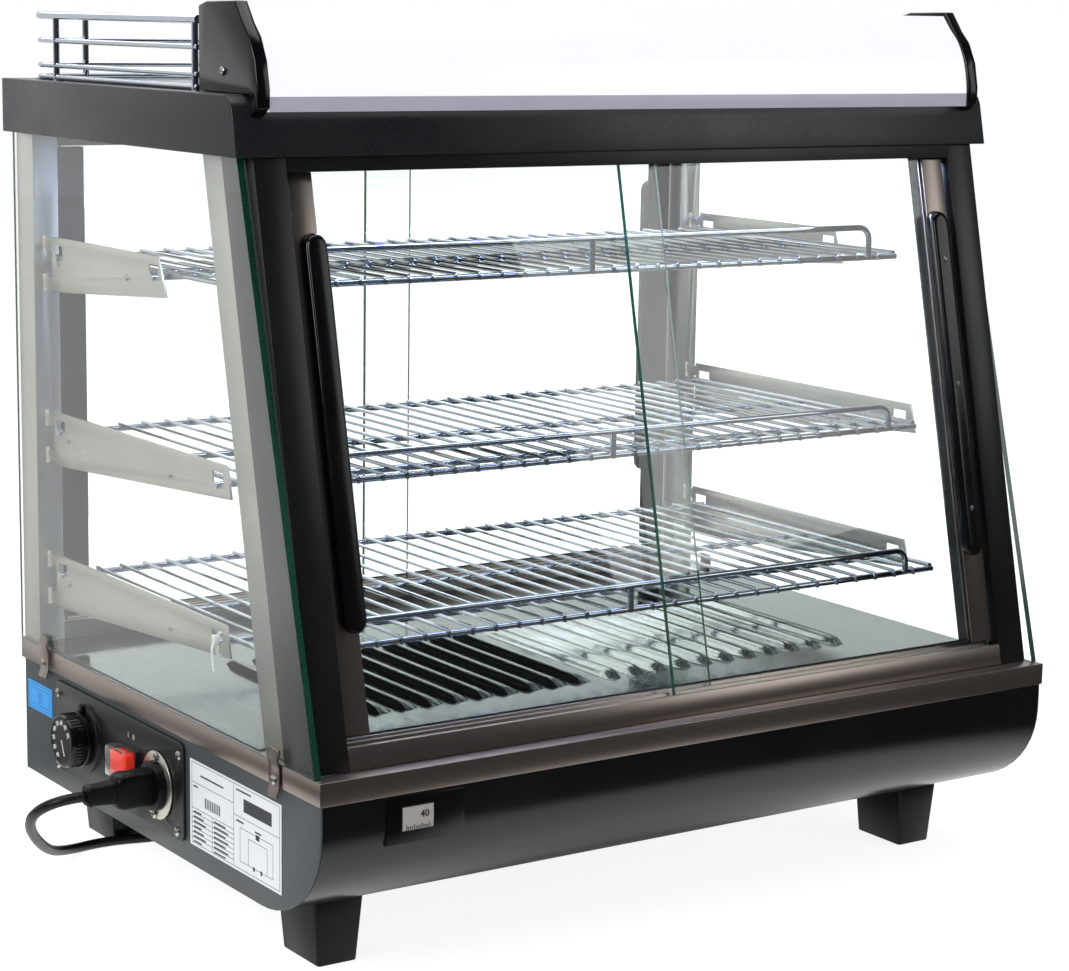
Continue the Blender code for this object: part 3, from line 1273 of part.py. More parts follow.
def make_bracket(level, side):
    """Sheet bracket with hooks in the upright's slots and holes that hold the shelf's rods."""
    top = DECK_TOP_Z + SHELF_RISES[level] + BRACKET_RISE
    back, front = BRACKET_BACK_Y, BRACKET_FRONT_Y[level]
    hook_end = UPRIGHT_FRONT_Y + UPRIGHT_SHEET + 0.0020
    high_tab, low_tab = bracket_tab_heights(level)
    tab = BRACKET_TAB / 2
    bottom = top - BRACKET_BACK_HEIGHT
    outline = [
        (front + BRACKET_NOSE_SLANT[level], top),
        (back, top),
        (back, high_tab + tab),
        (hook_end, high_tab + tab),
        (hook_end, high_tab - tab),
        (back, high_tab - tab),
        (back, low_tab + tab),
        (hook_end, low_tab + tab),
        (hook_end, low_tab - tab),
        (back, low_tab - tab),
        (back, bottom),
        (front, top - BRACKET_FRONT_HEIGHT[level]),
    ]
    x = side * BRACKET_X
    bm = prism_mesh(outline, "X", x - BRACKET_SHEET / 2, x + BRACKET_SHEET / 2)
    word = "left" if side < 0 else "right"
    bracket = place_node(f"bracket_{SHELF_NAMES[level]}_{word}", bm, "bright_steel")
    shelf_low = DECK_TOP_Z + SHELF_RISES[level] - SHELF_WIRE
    for k, y in enumerate((front + BRACKET_HOLE_INSET, SHELF_BACK_Y)):
        low = (x - 2 * BRACKET_SHEET, y - BRACKET_HOLE[0] / 2, shelf_low - GAP)
        high = (x + 2 * BRACKET_SHEET, y + BRACKET_HOLE[0] / 2, shelf_low + BRACKET_HOLE[1])
        combine(bracket, "DIFFERENCE", box_mesh(low, high), f"hole_{k}")


def make_shelves():
    for level in range(len(SHELF_RISES)):
        make_shelf(level)
        for side in (-1, 1):
            make_bracket(level, side)


# ---- The whole case ----------------------------------------------------------------------------


def main():
    clear_scene()
    case = bpy.data.objects.new("display_case", None)
    case.location = CASE_ORIGIN
    bpy.context.scene.collection.objects.link(case)
    make_side_panel("side_panel_left", -1)
    make_side_panel("side_panel_right", 1)
    make_base_pan(make_apron())
    make_rim()
    make_deck()
    make_feet()
    make_control_plate()
    make_knob()
    make_rocker()
    collar_end = make_inlet()
    make_thermometer()
    make_connector(collar_end)
    tube("power_cord", smooth_route(CORD_ROUTE, CORD_SPACING), CORD_RADIUS, "rubber", resolution=2)
    make_coil()
    make_plug()
    for side, word in ((-1, "left"), (1, "right")):
        make_side_glass(f"side_glass_{word}", side)
        make_glass_clip(f"glass_clip_front_{word}", side, CLIP_PLACES[0])
        make_glass_clip(f"glass_clip_rear_{word}", side, CLIP_PLACES[1])
        make_front_post(f"front_post_{word}", side)
        make_upright(f"rear_upright_{word}", side)
    make_tracks()
    make_liner()
    make_lamp()
    make_roof()
    make_sign()
    make_guard_rail()
    make_doors()
    make_shelves()


main()
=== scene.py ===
"""Finished looks of a countertop hot food display case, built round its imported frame.

Every piece is drawn in case coordinates, in metres: X = 0 in the middle, Y = 0 at the rim's front
edge and Z = 0 on the counter. ORIGIN is where that point lies in the frame.
"""
import json
import logging
import math
from dataclasses import dataclass
from enum import Enum
from typing import Any, Callable, Iterable, Optional, Sequence

import bmesh
import bpy
from mathutils import Matrix, Vector
from mathutils.geometry import interpolate_bezier


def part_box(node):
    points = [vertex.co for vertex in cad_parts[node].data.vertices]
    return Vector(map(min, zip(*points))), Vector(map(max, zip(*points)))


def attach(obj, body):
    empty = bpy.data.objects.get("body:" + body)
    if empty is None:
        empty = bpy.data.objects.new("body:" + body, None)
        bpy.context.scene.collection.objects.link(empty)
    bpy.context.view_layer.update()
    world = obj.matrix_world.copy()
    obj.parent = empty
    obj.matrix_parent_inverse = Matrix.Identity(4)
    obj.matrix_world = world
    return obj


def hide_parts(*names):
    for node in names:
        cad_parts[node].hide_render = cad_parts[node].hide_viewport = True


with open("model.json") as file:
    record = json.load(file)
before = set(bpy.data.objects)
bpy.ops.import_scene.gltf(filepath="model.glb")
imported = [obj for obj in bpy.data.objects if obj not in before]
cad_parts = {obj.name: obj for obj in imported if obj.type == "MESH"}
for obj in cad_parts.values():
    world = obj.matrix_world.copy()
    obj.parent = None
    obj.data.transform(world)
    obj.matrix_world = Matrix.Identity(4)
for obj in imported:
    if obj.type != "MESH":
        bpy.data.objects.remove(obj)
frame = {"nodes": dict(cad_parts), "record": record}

LOG = logging.getLogger("display_case")
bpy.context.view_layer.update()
MM = 0.001
SIDES = ((-1, "left"), (1, "right"))
LEVELS = ("lower", "middle", "upper")
BODY_OF = {node: body for body, nodes in frame["record"]["behaviour"]["bodies"].items() for node in nodes}
RIM_LOW, RIM_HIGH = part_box("rim_frame")
ORIGIN = Vector(((RIM_LOW.x + RIM_HIGH.x) / 2, RIM_LOW.y, 0.0))

Point = Sequence[float]
Outline = Sequence[Sequence[float]]


def box_of(node: str) -> tuple[Vector, Vector]:
    """A CAD node's lowest and highest corners, in case coordinates."""
    low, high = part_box(node)
    return low - ORIGIN, high - ORIGIN


# ---- Finishes ----------------------------------------------------------------------------------


class Grain(Enum):
    """How a surface was made, which sets the shape of its pattern."""

    EVEN = "the same in every direction"
    ALONG_X = "drawn or brushed along X"
    ALONG_Y = "drawn or brushed along Y"
    ALONG_Z = "drawn or brushed along Z"


STRETCH = {
    Grain.EVEN: (1.0, 1.0, 1.0),
    Grain.ALONG_X: (0.02, 1.0, 1.0),
    Grain.ALONG_Y: (1.0, 0.02, 1.0),
    Grain.ALONG_Z: (1.0, 1.0, 0.02),
}


def linear(colour: str) -> tuple[float, float, float, float]:
    """An sRGB hex colour as linear RGBA.

    Args:
        colour: "#RRGGBB".

    Returns:
        Four linear channels, the last 1.
    """
    shares = [int(colour[i : i + 2], 16) / 255 for i in (1, 3, 5)]
    red, green, blue = (c / 12.92 if c <= 0.04045 else ((c + 0.055) / 1.055) ** 2.4 for c in shares)
    return red, green, blue, 1.0


def add_node(tree: Any, kind: str, settings: Optional[dict] = None, links: Optional[dict] = None) -> Any:
    """Adds a node with its settings and links.

    Args:
        tree: The node tree.
        kind: The node's type.
        settings: Values by input name, input number or property name.
        links: Sockets to link in, by input name or number.

    Returns:
        The new node.
    """
    node = tree.nodes.new(kind)
    for key, value in (settings or {}).items():
        if isinstance(key, int) or key in node.inputs:
            node.inputs[key].default_value = value
        else:
            setattr(node, key, value)
    for key, source in (links or {}).items():
        tree.links.new(source, node.inputs[key])
    return node


def calculated(tree: Any, operation: str, *terms: Any, clamp: bool = False) -> Any:
    """What a math node makes of its terms.

    Args:
        tree: The node tree.
        operation: What it does with them.
        terms: Numbers, or sockets to link in.
        clamp: Whether the result stays between 0 and 1.

    Returns:
        The socket of the result.
    """
    node = add_node(tree, "ShaderNodeMath", {"operation": operation, "use_clamp": clamp})
    for slot, term in zip(node.inputs, terms):
        if isinstance(term, float):
            slot.default_value = term
        else:
            tree.links.new(term, slot)
    return node.outputs[0]


def ranged(tree: Any, value: Any, old: Sequence[float], new: Sequence[float] = (0.0, 1.0)) -> Any:
    """A value moved from one range to another and held inside it.

    Args:
        tree: The node tree.
        value: The value's socket.
        old: Ends of the range that it comes from.
        new: Ends of the range that it goes to.

    Returns:
        The socket of the result.
    """
    settings = {"From Min": old[0], "From Max": old[1], "To Min": new[0], "To Max": new[1]}
    return add_node(tree, "ShaderNodeMapRange", settings, {"Value": value}).outputs[0]


def blended(tree: Any, share: Any, first: Point, second: Point) -> Any:
    """A colour between two others.

    Args:
        tree: The node tree.
        share: Socket that goes from 0 for the first to 1 for the second.
        first: Linear RGBA.
        second: Linear RGBA.

    Returns:
        The socket of the colour.
    """
    settings = {"data_type": "RGBA", 6: first, 7: second}
    return add_node(tree, "ShaderNodeMix", settings, {0: share}).outputs[2]


def empty_material(name: str) -> tuple[Any, Any, Any]:
    """A material with only its output node.

    Args:
        name: The material's name.

    Returns:
        The material, its node tree and its output node.
    """
    material = bpy.data.materials.new(name)
    material.use_nodes = True
    tree = material.node_tree
    tree.nodes.clear()
    return material, tree, add_node(tree, "ShaderNodeOutputMaterial")


MADE: dict[str, Any] = {}


@dataclass(frozen=True)
class Finish:
    """A solid surface: two close colours, a grain that sets gloss and relief, and a slow drift."""

    name: str
    colour: str
    drift: str
    roughness: float
    spread: float
    grain_mm: float
    relief_mm: float
    metallic: float = 0.0
    grain: Grain = Grain.EVEN
    cloud_mm: float = 70.0
    coat: float = 0.0
    glow: float = 0.0
    lit: str = "#FFFFFF"
    shine: float = 0.5

    def noise(self, tree: Any, size_mm: float, detail: float, stretch: Point) -> Any:
        """A noise pattern on Object coordinates.

        Args:
            tree: The node tree.
            size_mm: Width of one cell.
            detail: Octaves of finer noise.
            stretch: Scale of the pattern along each axis.

        Returns:
            The socket of its value.
        """
        place = add_node(tree, "ShaderNodeTexCoord")
        mapped = add_node(tree, "ShaderNodeMapping", {"Scale": stretch}, {"Vector": place.outputs["Object"]})
        scale = 1.0 / (size_mm * MM)
        noise = add_node(
            tree, "ShaderNodeTexNoise", {"Scale": scale, "Detail": detail}, {"Vector": mapped.outputs[0]}
        )
        return noise.outputs[0]

    def material(self) -> Any:
        """The finish as a material, made once."""
        if self.name in MADE:
            return MADE[self.name]
        material, tree, output = empty_material(self.name)
        cloud = self.noise(tree, self.cloud_mm, 3.0, (1.0, 1.0, 1.0))
        fine = self.noise(tree, self.grain_mm, 2.0, STRETCH[self.grain])
        share = ranged(tree, calculated(tree, "ADD", cloud, fine), (0.72, 1.28))
        glossiest, dullest = max(0.0, self.roughness - self.spread), self.roughness + self.spread
        relief = {"Strength": 1.0, "Distance": self.relief_mm * MM}
        settings = {
            "Metallic": self.metallic,
            "Specular IOR Level": self.shine,
            "Coat Weight": self.coat,
            "Coat Roughness": 0.06,
        }
        if self.glow:
            settings |= {"Emission Strength": self.glow, "Emission Color": linear(self.lit)}
        links = {
            "Base Color": blended(tree, share, linear(self.colour), linear(self.drift)),
            "Roughness": ranged(tree, share, (0.0, 1.0), (glossiest, dullest)),
            "Normal": add_node(tree, "ShaderNodeBump", relief, {"Height": fine}).outputs[0],
        }
        shader = add_node(tree, "ShaderNodeBsdfPrincipled", settings, links)
        tree.links.new(shader.outputs[0], output.inputs[0])
        MADE[self.name] = material
        return material


@dataclass(frozen=True)
class ClearGlass:
    """Float glass or clear moulding: light passes it, and faint wiping marks show in its gloss."""

    name: str
    tint: str
    ior: float = 1.5
    smear_mm: float = 45.0
    haze: float = 0.02

    def material(self) -> Any:
        """The glass as a material, made once. Shadow rays pass it, so what is inside stays lit."""
        if self.name in MADE:
            return MADE[self.name]
        material, tree, output = empty_material(self.name)
        place = add_node(tree, "ShaderNodeTexCoord").outputs["Object"]
        pattern = {"Scale": 1.0 / (self.smear_mm * MM), "Detail": 4.0, "Distortion": 1.2}
        smear = add_node(tree, "ShaderNodeTexNoise", pattern, {"Vector": place}).outputs[0]
        gloss = ranged(tree, smear, (0.45, 0.8), (0.0, self.haze))
        settings = {"Base Color": linear(self.tint), "Transmission Weight": 1.0, "IOR": self.ior}
        shader = add_node(tree, "ShaderNodeBsdfPrincipled", settings, {"Roughness": gloss})
        clear = add_node(tree, "ShaderNodeBsdfTransparent", {"Color": linear(self.tint)})
        shadow = add_node(tree, "ShaderNodeLightPath").outputs["Is Shadow Ray"]
        links = {0: shadow, 1: shader.outputs[0], 2: clear.outputs[0]}
        both = add_node(tree, "ShaderNodeMixShader", {}, links)
        tree.links.new(both.outputs[0], output.inputs[0])
        MADE[self.name] = material
        return material


# Polyester powder coat: a satin black skin with a fine orange peel.
POWDER_BLACK = Finish("powder_coat_black", "#0A0A0B", "#101112", 0.34, 0.06, 0.9, 0.035, shine=0.4)
# Hammered powder coat on the roof: coarser peel, so its gloss breaks into small grey specks.
POWDER_HAMMERED = Finish("powder_coat_hammered_charcoal", "#101215", "#181B1E", 0.34, 0.08, 1.7, 0.05)
# Powder coat on the sides: blue grey and flatter.
POWDER_GREY = Finish("powder_coat_blue_grey", "#333A3C", "#3B4244", 0.42, 0.06, 0.9, 0.035)
# Stove enamel on the apron: a wet, near mirror black.
ENAMEL_BLACK = Finish("stove_enamel_black", "#030304", "#060607", 0.22, 0.04, 2.2, 0.005)
# Brushed 430 stainless with a warm cast: fine lines along the rail.
BRUSHED_X = Finish("brushed_stainless_along", "#A2968F", "#A0948D", 0.29, 0.008, 0.4, 0.00015, 1.0, Grain.ALONG_X)
BRUSHED_Z = Finish("brushed_stainless_upright", "#9C918B", "#9A8F89", 0.29, 0.008, 0.4, 0.00015, 1.0, Grain.ALONG_Z)
# Cold rolled stainless: nearly a mirror, with the roller's faint waves.
ROLLED = Finish("rolled_stainless_mirror", "#A1A7A5", "#9AA09E", 0.12, 0.05, 2.0, 0.002, 1.0, Grain.ALONG_Y, 40.0)
# Dull rolled stainless of the brackets: soft grey with slight cloudiness.
ROLLED_DULL = Finish("rolled_stainless_dull", "#D3D1C8", "#CAC8BF", 0.32, 0.05, 0.7, 0.002, 1.0, Grain.ALONG_Y)
# Nickel-chrome plate on drawn wire: a cold mirror with slight ripple along the wire.
CHROME = Finish("chromed_wire", "#C9CED6", "#BCC2CC", 0.08, 0.04, 2.5, 0.010, 1.0)
ZINC = Finish("zinc_plated_screw", "#D2D0CA", "#BEBCB6", 0.26, 0.08, 0.8, 0.010, 1.0)
# Injection moulded ABS: black and satin, with a spark-eroded grain.
ABS_BLACK = Finish("moulded_abs_black", "#050506", "#08080A", 0.32, 0.06, 0.6, 0.012, shine=0.18)
ABS_GLOSS = Finish("moulded_abs_gloss_black", "#020203", "#050506", 0.18, 0.05, 1.5, 0.004, shine=0.4)
# PVC sheath: black, slightly matt, with extrusion ripple.
PVC_BLACK = Finish("extruded_pvc_black", "#050506", "#0A0A0B", 0.38, 0.06, 0.8, 0.015, shine=0.35)
RUBBER = Finish("moulded_rubber", "#101010", "#171717", 0.60, 0.08, 0.7, 0.030)
# Translucent polycarbonate rocker, lit from inside.
POLY_RED = Finish("moulded_polycarbonate_red", "#D8200F", "#E3331B", 0.22, 0.05, 1.0, 0.006, glow=0.12, lit="#FF3A1E")
# Screen-printed ink and label stock: matt, with slightly uneven cover.
INK_WHITE = Finish("printed_white", "#D8D8D4", "#C9C9C5", 0.55, 0.05, 0.5, 0.004)
INK_DARK = Finish("printed_dark", "#25282B", "#383B3E", 0.55, 0.05, 0.5, 0.004)
INK_BLUE = Finish("printed_blue", "#0E5C9C", "#1266A6", 0.45, 0.05, 0.5, 0.004)
LABEL_SILVER = Finish("label_polyester_white", "#DFE3E4", "#D6DADC", 0.38, 0.06, 1.0, 0.006)
DIAL_SILVER = Finish("printed_dial_silver", "#A39E99", "#9B9691", 0.42, 0.06, 0.8, 0.004)
LABEL_BLUE = Finish("label_vinyl_blue", "#1E92E0", "#2A9CE6", 0.35, 0.06, 1.0, 0.006)
NYLON_WHITE = Finish("moulded_nylon_white", "#E0E0DC", "#D2D2CE", 0.40, 0.06, 0.8, 0.010)
# Opal acrylic in front of the lamps: even white, slightly cool.
OPAL = Finish("opal_acrylic_lit", "#5E5C66", "#545259", 0.20, 0.05, 30.0, 0.004, glow=0.92, lit="#FBFAFE")
# Opal acrylic at the sign's foot, glowing less than the panel: painted shade on its lower band.
OPAL_SHADED_FOOT = Finish("opal_acrylic_shaded_foot", "#5A5862", "#504E58", 0.30, 0.05, 30.0, 0.004, glow=0.48, lit="#C9C4D6")
LED_LENS = Finish("led_lens_cool_white", "#E6EEFF", "#F4F8FF", 0.25, 0.05, 2.0, 0.004, glow=3.2, lit="#C9D8FF")
# Near black with no light in it: painted shade in the deck's slots, on the screws' crosses and round the
# thermometer's drum; it also prints the dial's marks.
SHADE_AND_PRINT_DARK = Finish("painted_shade_and_dark_print", "#060709", "#0E0F12", 0.50, 0.08, 1.0, 0.010)
# Float glass: clear across its thickness, bottle green through its cut edges.
PANE = ClearGlass("float_glass_clear", "#F7FAF8")
EDGE = Finish("float_glass_cut_edge", "#0B2F22", "#154433", 0.18, 0.06, 1.5, 0.010, coat=0.5)
CLEAR_CAP = ClearGlass("clear_silicone_cap", "#F4F6F6", 1.42, 8.0, 0.12)


# ---- Building blocks ---------------------------------------------------------------------------


def block(low: Point, high: Point, round_mm: float = 0.0) -> bmesh.types.BMesh:
    """A rectangular body with eased edges.

    Args:
        low: Its lowest corner.
        high: Its highest corner.
        round_mm: Radius of its edges.

    Returns:
        The bmesh.
    """
    bm = bmesh.new()
    bmesh.ops.create_cube(bm, size=1.0)
    low, high = Vector(low), Vector(high)
    bmesh.ops.scale(bm, vec=high - low, verts=bm.verts)
    bmesh.ops.translate(bm, vec=(low + high) / 2, verts=bm.verts)
    return eased(bm, round_mm)


def eased(bm: bmesh.types.BMesh, round_mm: float, angle: float = 30.0, segments: int = 2) -> bmesh.types.BMesh:
    """The same bmesh with its sharp edges rounded.

    Args:
        bm: A closed bmesh.
        round_mm: Radius, or 0 to leave it.
        angle: Least angle between two faces whose edge is rounded, in degrees.
        segments: Faces across the rounding.

    Returns:
        The bmesh.
    """
    if round_mm <= 0:
        return bm
    sharp = [e for e in bm.edges if len(e.link_faces) == 2 and e.calc_face_angle() > math.radians(angle)]
    bmesh.ops.bevel(
        bm, geom=sharp, offset=round_mm * MM, segments=segments, profile=0.5, affect="EDGES",
        material=-1, clamp_overlap=True,
    )
    return bm


def slab(outline: Outline, axis: str, start: float, end: float, round_mm: float = 0.0) -> bmesh.types.BMesh:
    """A flat outline given thickness along an axis.

    Args:
        outline: Points on the other two axes, in order.
        axis: "X", "Y" or "Z".
        start: Where it starts along the axis.
        end: Where it ends.
        round_mm: Radius of its edges.

    Returns:
        The bmesh.
    """
    spot: dict[str, Callable] = {
        "X": lambda a, b, t: (t, a, b),
        "Y": lambda a, b, t: (a, t, b),
        "Z": lambda a, b, t: (a, b, t),
    }
    bm = bmesh.new()
    corners = [bmesh.ops.create_vert(bm, co=spot[axis](a, b, start))["vert"][0] for a, b in outline]
    face = bm.faces.new(corners)
    pushed = bmesh.ops.extrude_face_region(bm, geom=[face])["geom"]
    moved = [v for v in pushed if isinstance(v, bmesh.types.BMVert)]
    bmesh.ops.translate(bm, vec=spot[axis](0.0, 0.0, end - start), verts=moved)
    bmesh.ops.recalc_face_normals(bm, faces=bm.faces)
    return eased(bm, round_mm)


def turned(profile: Outline, centre: Point, steps: int = 40) -> bmesh.types.BMesh:
    """A body turned about a line along X.

    Args:
        profile: (X, radius) from one end to the other.
        centre: Y and Z of the line.
        steps: Faces round it.

    Returns:
        The bmesh.
    """
    bm = bmesh.new()
    ends = [(profile[0][0], 0.0), *profile, (profile[-1][0], 0.0)]
    line = [
        bmesh.ops.create_vert(bm, co=(x, centre[0] + radius, centre[1]))["vert"][0] for x, radius in ends
    ]
    edges = [bm.edges.new(pair) for pair in zip(line, line[1:])]
    bmesh.ops.spin(
        bm, geom=[*line, *edges], cent=(0.0, *centre), axis=(1.0, 0.0, 0.0), angle=math.tau,
        steps=steps, use_merge=True,
    )
    bmesh.ops.remove_doubles(bm, verts=bm.verts, dist=1e-6)
    bmesh.ops.recalc_face_normals(bm, faces=bm.faces)
    return bm


def bent(points: Sequence[Point], radius: float, steps: int = 5) -> list[Vector]:
    """A path whose corners are rounded.

    Args:
        points: The path's corners and ends.
        radius: How far from each corner its bend starts.
        steps: Points on each bend.

    Returns:
        The rounded path.
    """
    path = [Vector(p) for p in points]
    made = [path[0]]
    for before, corner, after in zip(path, path[1:], path[2:]):
        start = corner + (before - corner).normalized() * radius
        end = corner + (after - corner).normalized() * radius
        made += interpolate_bezier(start, start.lerp(corner, 0.6), end.lerp(corner, 0.6), end, steps)
    return [*made, path[-1]]


def smoothed(points: Sequence[Vector], steps: int) -> list[Vector]:
    """A curve through points, without corners.

    Args:
        points: What it passes.
        steps: Points on each stretch, with both its ends.

    Returns:
        The curve's points.
    """
    made, last = [points[0]], len(points) - 1
    for i in range(last):
        before, after = points[max(i - 1, 0)], points[min(i + 2, last)]
        first = points[i] + (points[i + 1] - before) / 6
        second = points[i + 1] - (after - points[i]) / 6
        made += interpolate_bezier(points[i], first, second, points[i + 1], steps)[1:]
    return made


def swept(path: Sequence[Point], radius: float, sides: int = 10) -> bmesh.types.BMesh:
    """A round bar along a path.

    Args:
        path: Its middle line.
        radius: Its radius.
        sides: Faces round it.

    Returns:
        The bmesh, closed at both ends.
    """
    points = [Vector(p) for p in path]
    last = len(points) - 1
    ways = [(points[min(i + 1, last)] - points[max(i - 1, 0)]).normalized() for i in range(last + 1)]
    bm = bmesh.new()
    ring = bmesh.ops.create_circle(bm, cap_ends=True, segments=sides, radius=radius)["verts"]
    turn = ways[0].to_track_quat("Z", "Y").to_matrix().to_4x4()
    bmesh.ops.transform(bm, matrix=Matrix.Translation(points[0]) @ turn, verts=ring)
    edges = list(bm.edges)
    for i in range(1, last + 1):
        pushed = bmesh.ops.extrude_edge_only(bm, edges=edges)["geom"]
        ring = [v for v in pushed if isinstance(v, bmesh.types.BMVert)]
        front = set(ring)
        edges = [e for e in pushed if isinstance(e, bmesh.types.BMEdge) and front.issuperset(e.verts)]
        turn = ways[i - 1].rotation_difference(ways[i]).to_matrix()
        bmesh.ops.rotate(bm, cent=points[i - 1], matrix=turn, verts=ring)
        bmesh.ops.translate(bm, vec=points[i] - points[i - 1], verts=ring)
    bmesh.ops.edgeloop_fill(bm, edges=edges)
    bmesh.ops.recalc_face_normals(bm, faces=bm.faces)
    return bm


def extended(bm: bmesh.types.BMesh, edges: Sequence[Any]) -> tuple[list[Any], list[Any]]:
    """Pulls a new ring of edges out of a ring at the end of a body.

    Args:
        bm: The body.
        edges: The ring at its end.

    Returns:
        The new ring's vertices and edges.
    """
    made = bmesh.ops.extrude_edge_only(bm, edges=edges)["geom"]
    verts = [v for v in made if isinstance(v, bmesh.types.BMVert)]
    front = set(verts)
    return verts, [e for e in made if isinstance(e, bmesh.types.BMEdge) and front.issuperset(e.verts)]


def lofted(sections: Sequence[Point], centre: Point, corner: float) -> bmesh.types.BMesh:
    """A moulded body along X whose rounded section changes on the way.

    Args:
        sections: (X, half width along Y, half height along Z) in order.
        centre: Y and Z of its middle.
        corner: Share of the section's half width that its corners are rounded by.

    Returns:
        The bmesh, closed at both ends.
    """
    bm = bmesh.new()
    bmesh.ops.create_grid(bm, x_segments=1, y_segments=1, size=1.0)
    bmesh.ops.bevel(
        bm, geom=bm.verts[:], offset=corner, segments=4, profile=0.5, affect="VERTICES", material=-1
    )
    bmesh.ops.rotate(bm, cent=(0, 0, 0), matrix=Matrix.Rotation(math.pi / 2, 3, "Y"), verts=bm.verts)
    edges = [e for e in bm.edges if len(e.link_faces) == 1]
    ring = list({v for e in edges for v in e.verts})
    shape = [v.co.copy() for v in ring]
    for number, (x, half_y, half_z) in enumerate(sections):
        if number:
            front, edges = extended(bm, edges)
            ring = [next(e.other_vert(v) for e in v.link_edges if e.other_vert(v) in front) for v in ring]
        for vert, unit in zip(ring, shape):
            vert.co = (x, centre[0] + unit.y * half_y, centre[1] + unit.z * half_z)
    bmesh.ops.edgeloop_fill(bm, edges=edges)
    bmesh.ops.recalc_face_normals(bm, faces=bm.faces)
    return bm


def joined(parts: Iterable[bmesh.types.BMesh]) -> bmesh.types.BMesh:
    """Several bmeshes in one."""
    whole = bmesh.new()
    for part in parts:
        mesh = bpy.data.meshes.new("part")
        part.to_mesh(mesh)
        part.free()
        whole.from_mesh(mesh)
        bpy.data.meshes.remove(mesh)
    return whole


def coloured(bm: bmesh.types.BMesh, index: int) -> bmesh.types.BMesh:
    """The same bmesh with every face on the material of that number."""
    for face in bm.faces:
        face.material_index = index
    return bm


def place(
    name: str,
    bm: bmesh.types.BMesh,
    body: str,
    finishes: Sequence[Any],
    slot: str,
    stands_for: Sequence[str] = (),
    smooth: float = 35.0,
) -> Any:
    """Makes a piece of a bmesh and lets it ride on a body.

    Args:
        name: The piece's name.
        bm: Drawn in case coordinates.
        body: The body it moves with.
        finishes: Its materials, in the order of the faces' numbers.
        slot: The record's slot; not used.
        stands_for: CAD nodes that it replaces.
        smooth: Edges flatter than this angle, in degrees, are shaded smooth.

    Returns:
        The object.
    """
    bmesh.ops.translate(bm, vec=ORIGIN, verts=bm.verts)
    mesh = bpy.data.meshes.new(name)
    bm.to_mesh(mesh)
    bm.free()
    for finish in finishes:
        mesh.materials.append(finish.material())
    mesh.shade_smooth()
    mesh.set_sharp_from_angle(angle=math.radians(smooth))
    obj = bpy.data.objects.new(name, mesh)
    bpy.context.scene.collection.objects.link(obj)
    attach(obj, body)
    if stands_for:
        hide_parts(*stands_for)
    LOG.info("%s on %s: %d faces", name, body, len(mesh.polygons))
    return obj


def copy_of(node: str) -> bmesh.types.BMesh:
    """A CAD node's mesh in case coordinates, merged and with its flat faces whole."""
    bm = bmesh.new()
    bm.from_mesh(frame["nodes"][node].data)
    bmesh.ops.remove_doubles(bm, verts=bm.verts, dist=1e-5)
    bmesh.ops.dissolve_limit(bm, angle_limit=math.radians(0.8), verts=bm.verts, edges=bm.edges)
    bmesh.ops.translate(bm, vec=-ORIGIN, verts=bm.verts)
    for face in bm.faces:
        face.material_index = 0
    return bm


def refine(
    node: str, finish: Any, slot: str, round_mm: float = 0.5, smooth: float = 35.0, angle: float = 30.0
) -> None:
    """Replaces a CAD node by the same shape with eased edges.

    Args:
        node: The node.
        finish: Its finish.
        slot: The record's slot.
        round_mm: Radius of its edges.
        smooth: Angle under which faces are shaded smooth, in degrees.
        angle: Least angle of an edge that is eased, in degrees.
    """
    bm = eased(copy_of(node), round_mm, angle)
    place(f"{node}_made", bm, BODY_OF[node], [finish], slot, [node], smooth)


def dress(node: str, finish: Any) -> None:
    """Gives a CAD node that stays as it is a better material."""
    mesh = frame["nodes"][node].data
    mesh.materials.clear()
    mesh.materials.append(finish.material())
    LOG.info("%s keeps its shape", node)


FACING_LEFT = Matrix(((0, 0, -1), (-1, 0, 0), (0, 1, 0))).to_4x4()
FACING_FRONT = Matrix(((1, 0, 0), (0, 0, -1), (0, 1, 0))).to_4x4()


def figures(text: str, size: float, spot: Point, facing: Matrix, thick: float = 0.00015) -> bmesh.types.BMesh:
    """Printed figures as a thin raised mesh.

    Args:
        text: The figures.
        size: Their height.
        spot: Their middle.
        facing: Turns them from facing +Z to the way they face.
        thick: How far they stand proud.

    Returns:
        The bmesh.
    """
    curve = bpy.data.curves.new("figures", "FONT")
    curve.body = text
    curve.size = size
    curve.extrude = thick
    curve.align_x = "CENTER"
    curve.align_y = "CENTER"
    curve.resolution_u = 3
    holder = bpy.data.objects.new("figures", curve)
    mesh = bpy.data.meshes.new_from_object(holder)
    bm = bmesh.new()
    bm.from_mesh(mesh)
    bmesh.ops.remove_doubles(bm, verts=bm.verts, dist=1e-7)
    bmesh.ops.transform(bm, matrix=Matrix.Translation(Vector(spot)) @ facing, verts=bm.verts)
    bpy.data.objects.remove(holder)
    bpy.data.curves.remove(curve)
    bpy.data.meshes.remove(mesh)
    return bm


def screw(spot: Point, way: Point, radius: float) -> bmesh.types.BMesh:
    """A pan-head screw with a cross on its head where the recess is: thin bars standing slightly proud, not cut in.

    Args:
        spot: Middle of its seat.
        way: The way its head faces.
        radius: The head's radius.

    Returns:
        The bmesh, with the cross on material 1.
    """
    rise = radius * 0.55
    profile = [(0.0, radius), (rise * 0.45, radius * 0.97), (rise * 0.85, radius * 0.72), (rise, radius * 0.35)]
    head = turned(profile, (0.0, 0.0), 18)
    arm, half = radius * 0.55, radius * 0.11
    bars = [
        coloured(block((rise * 0.7, -arm, -half), (rise + 0.00008, arm, half)), 1),
        coloured(block((rise * 0.7, -half, -arm), (rise + 0.00008, half, arm)), 1),
    ]
    bm = joined([head, *bars])
    turn = Vector(way).to_track_quat("X", "Z").to_matrix().to_4x4()
    bmesh.ops.transform(bm, matrix=Matrix.Translation(Vector(spot)) @ turn, verts=bm.verts)
    return bm


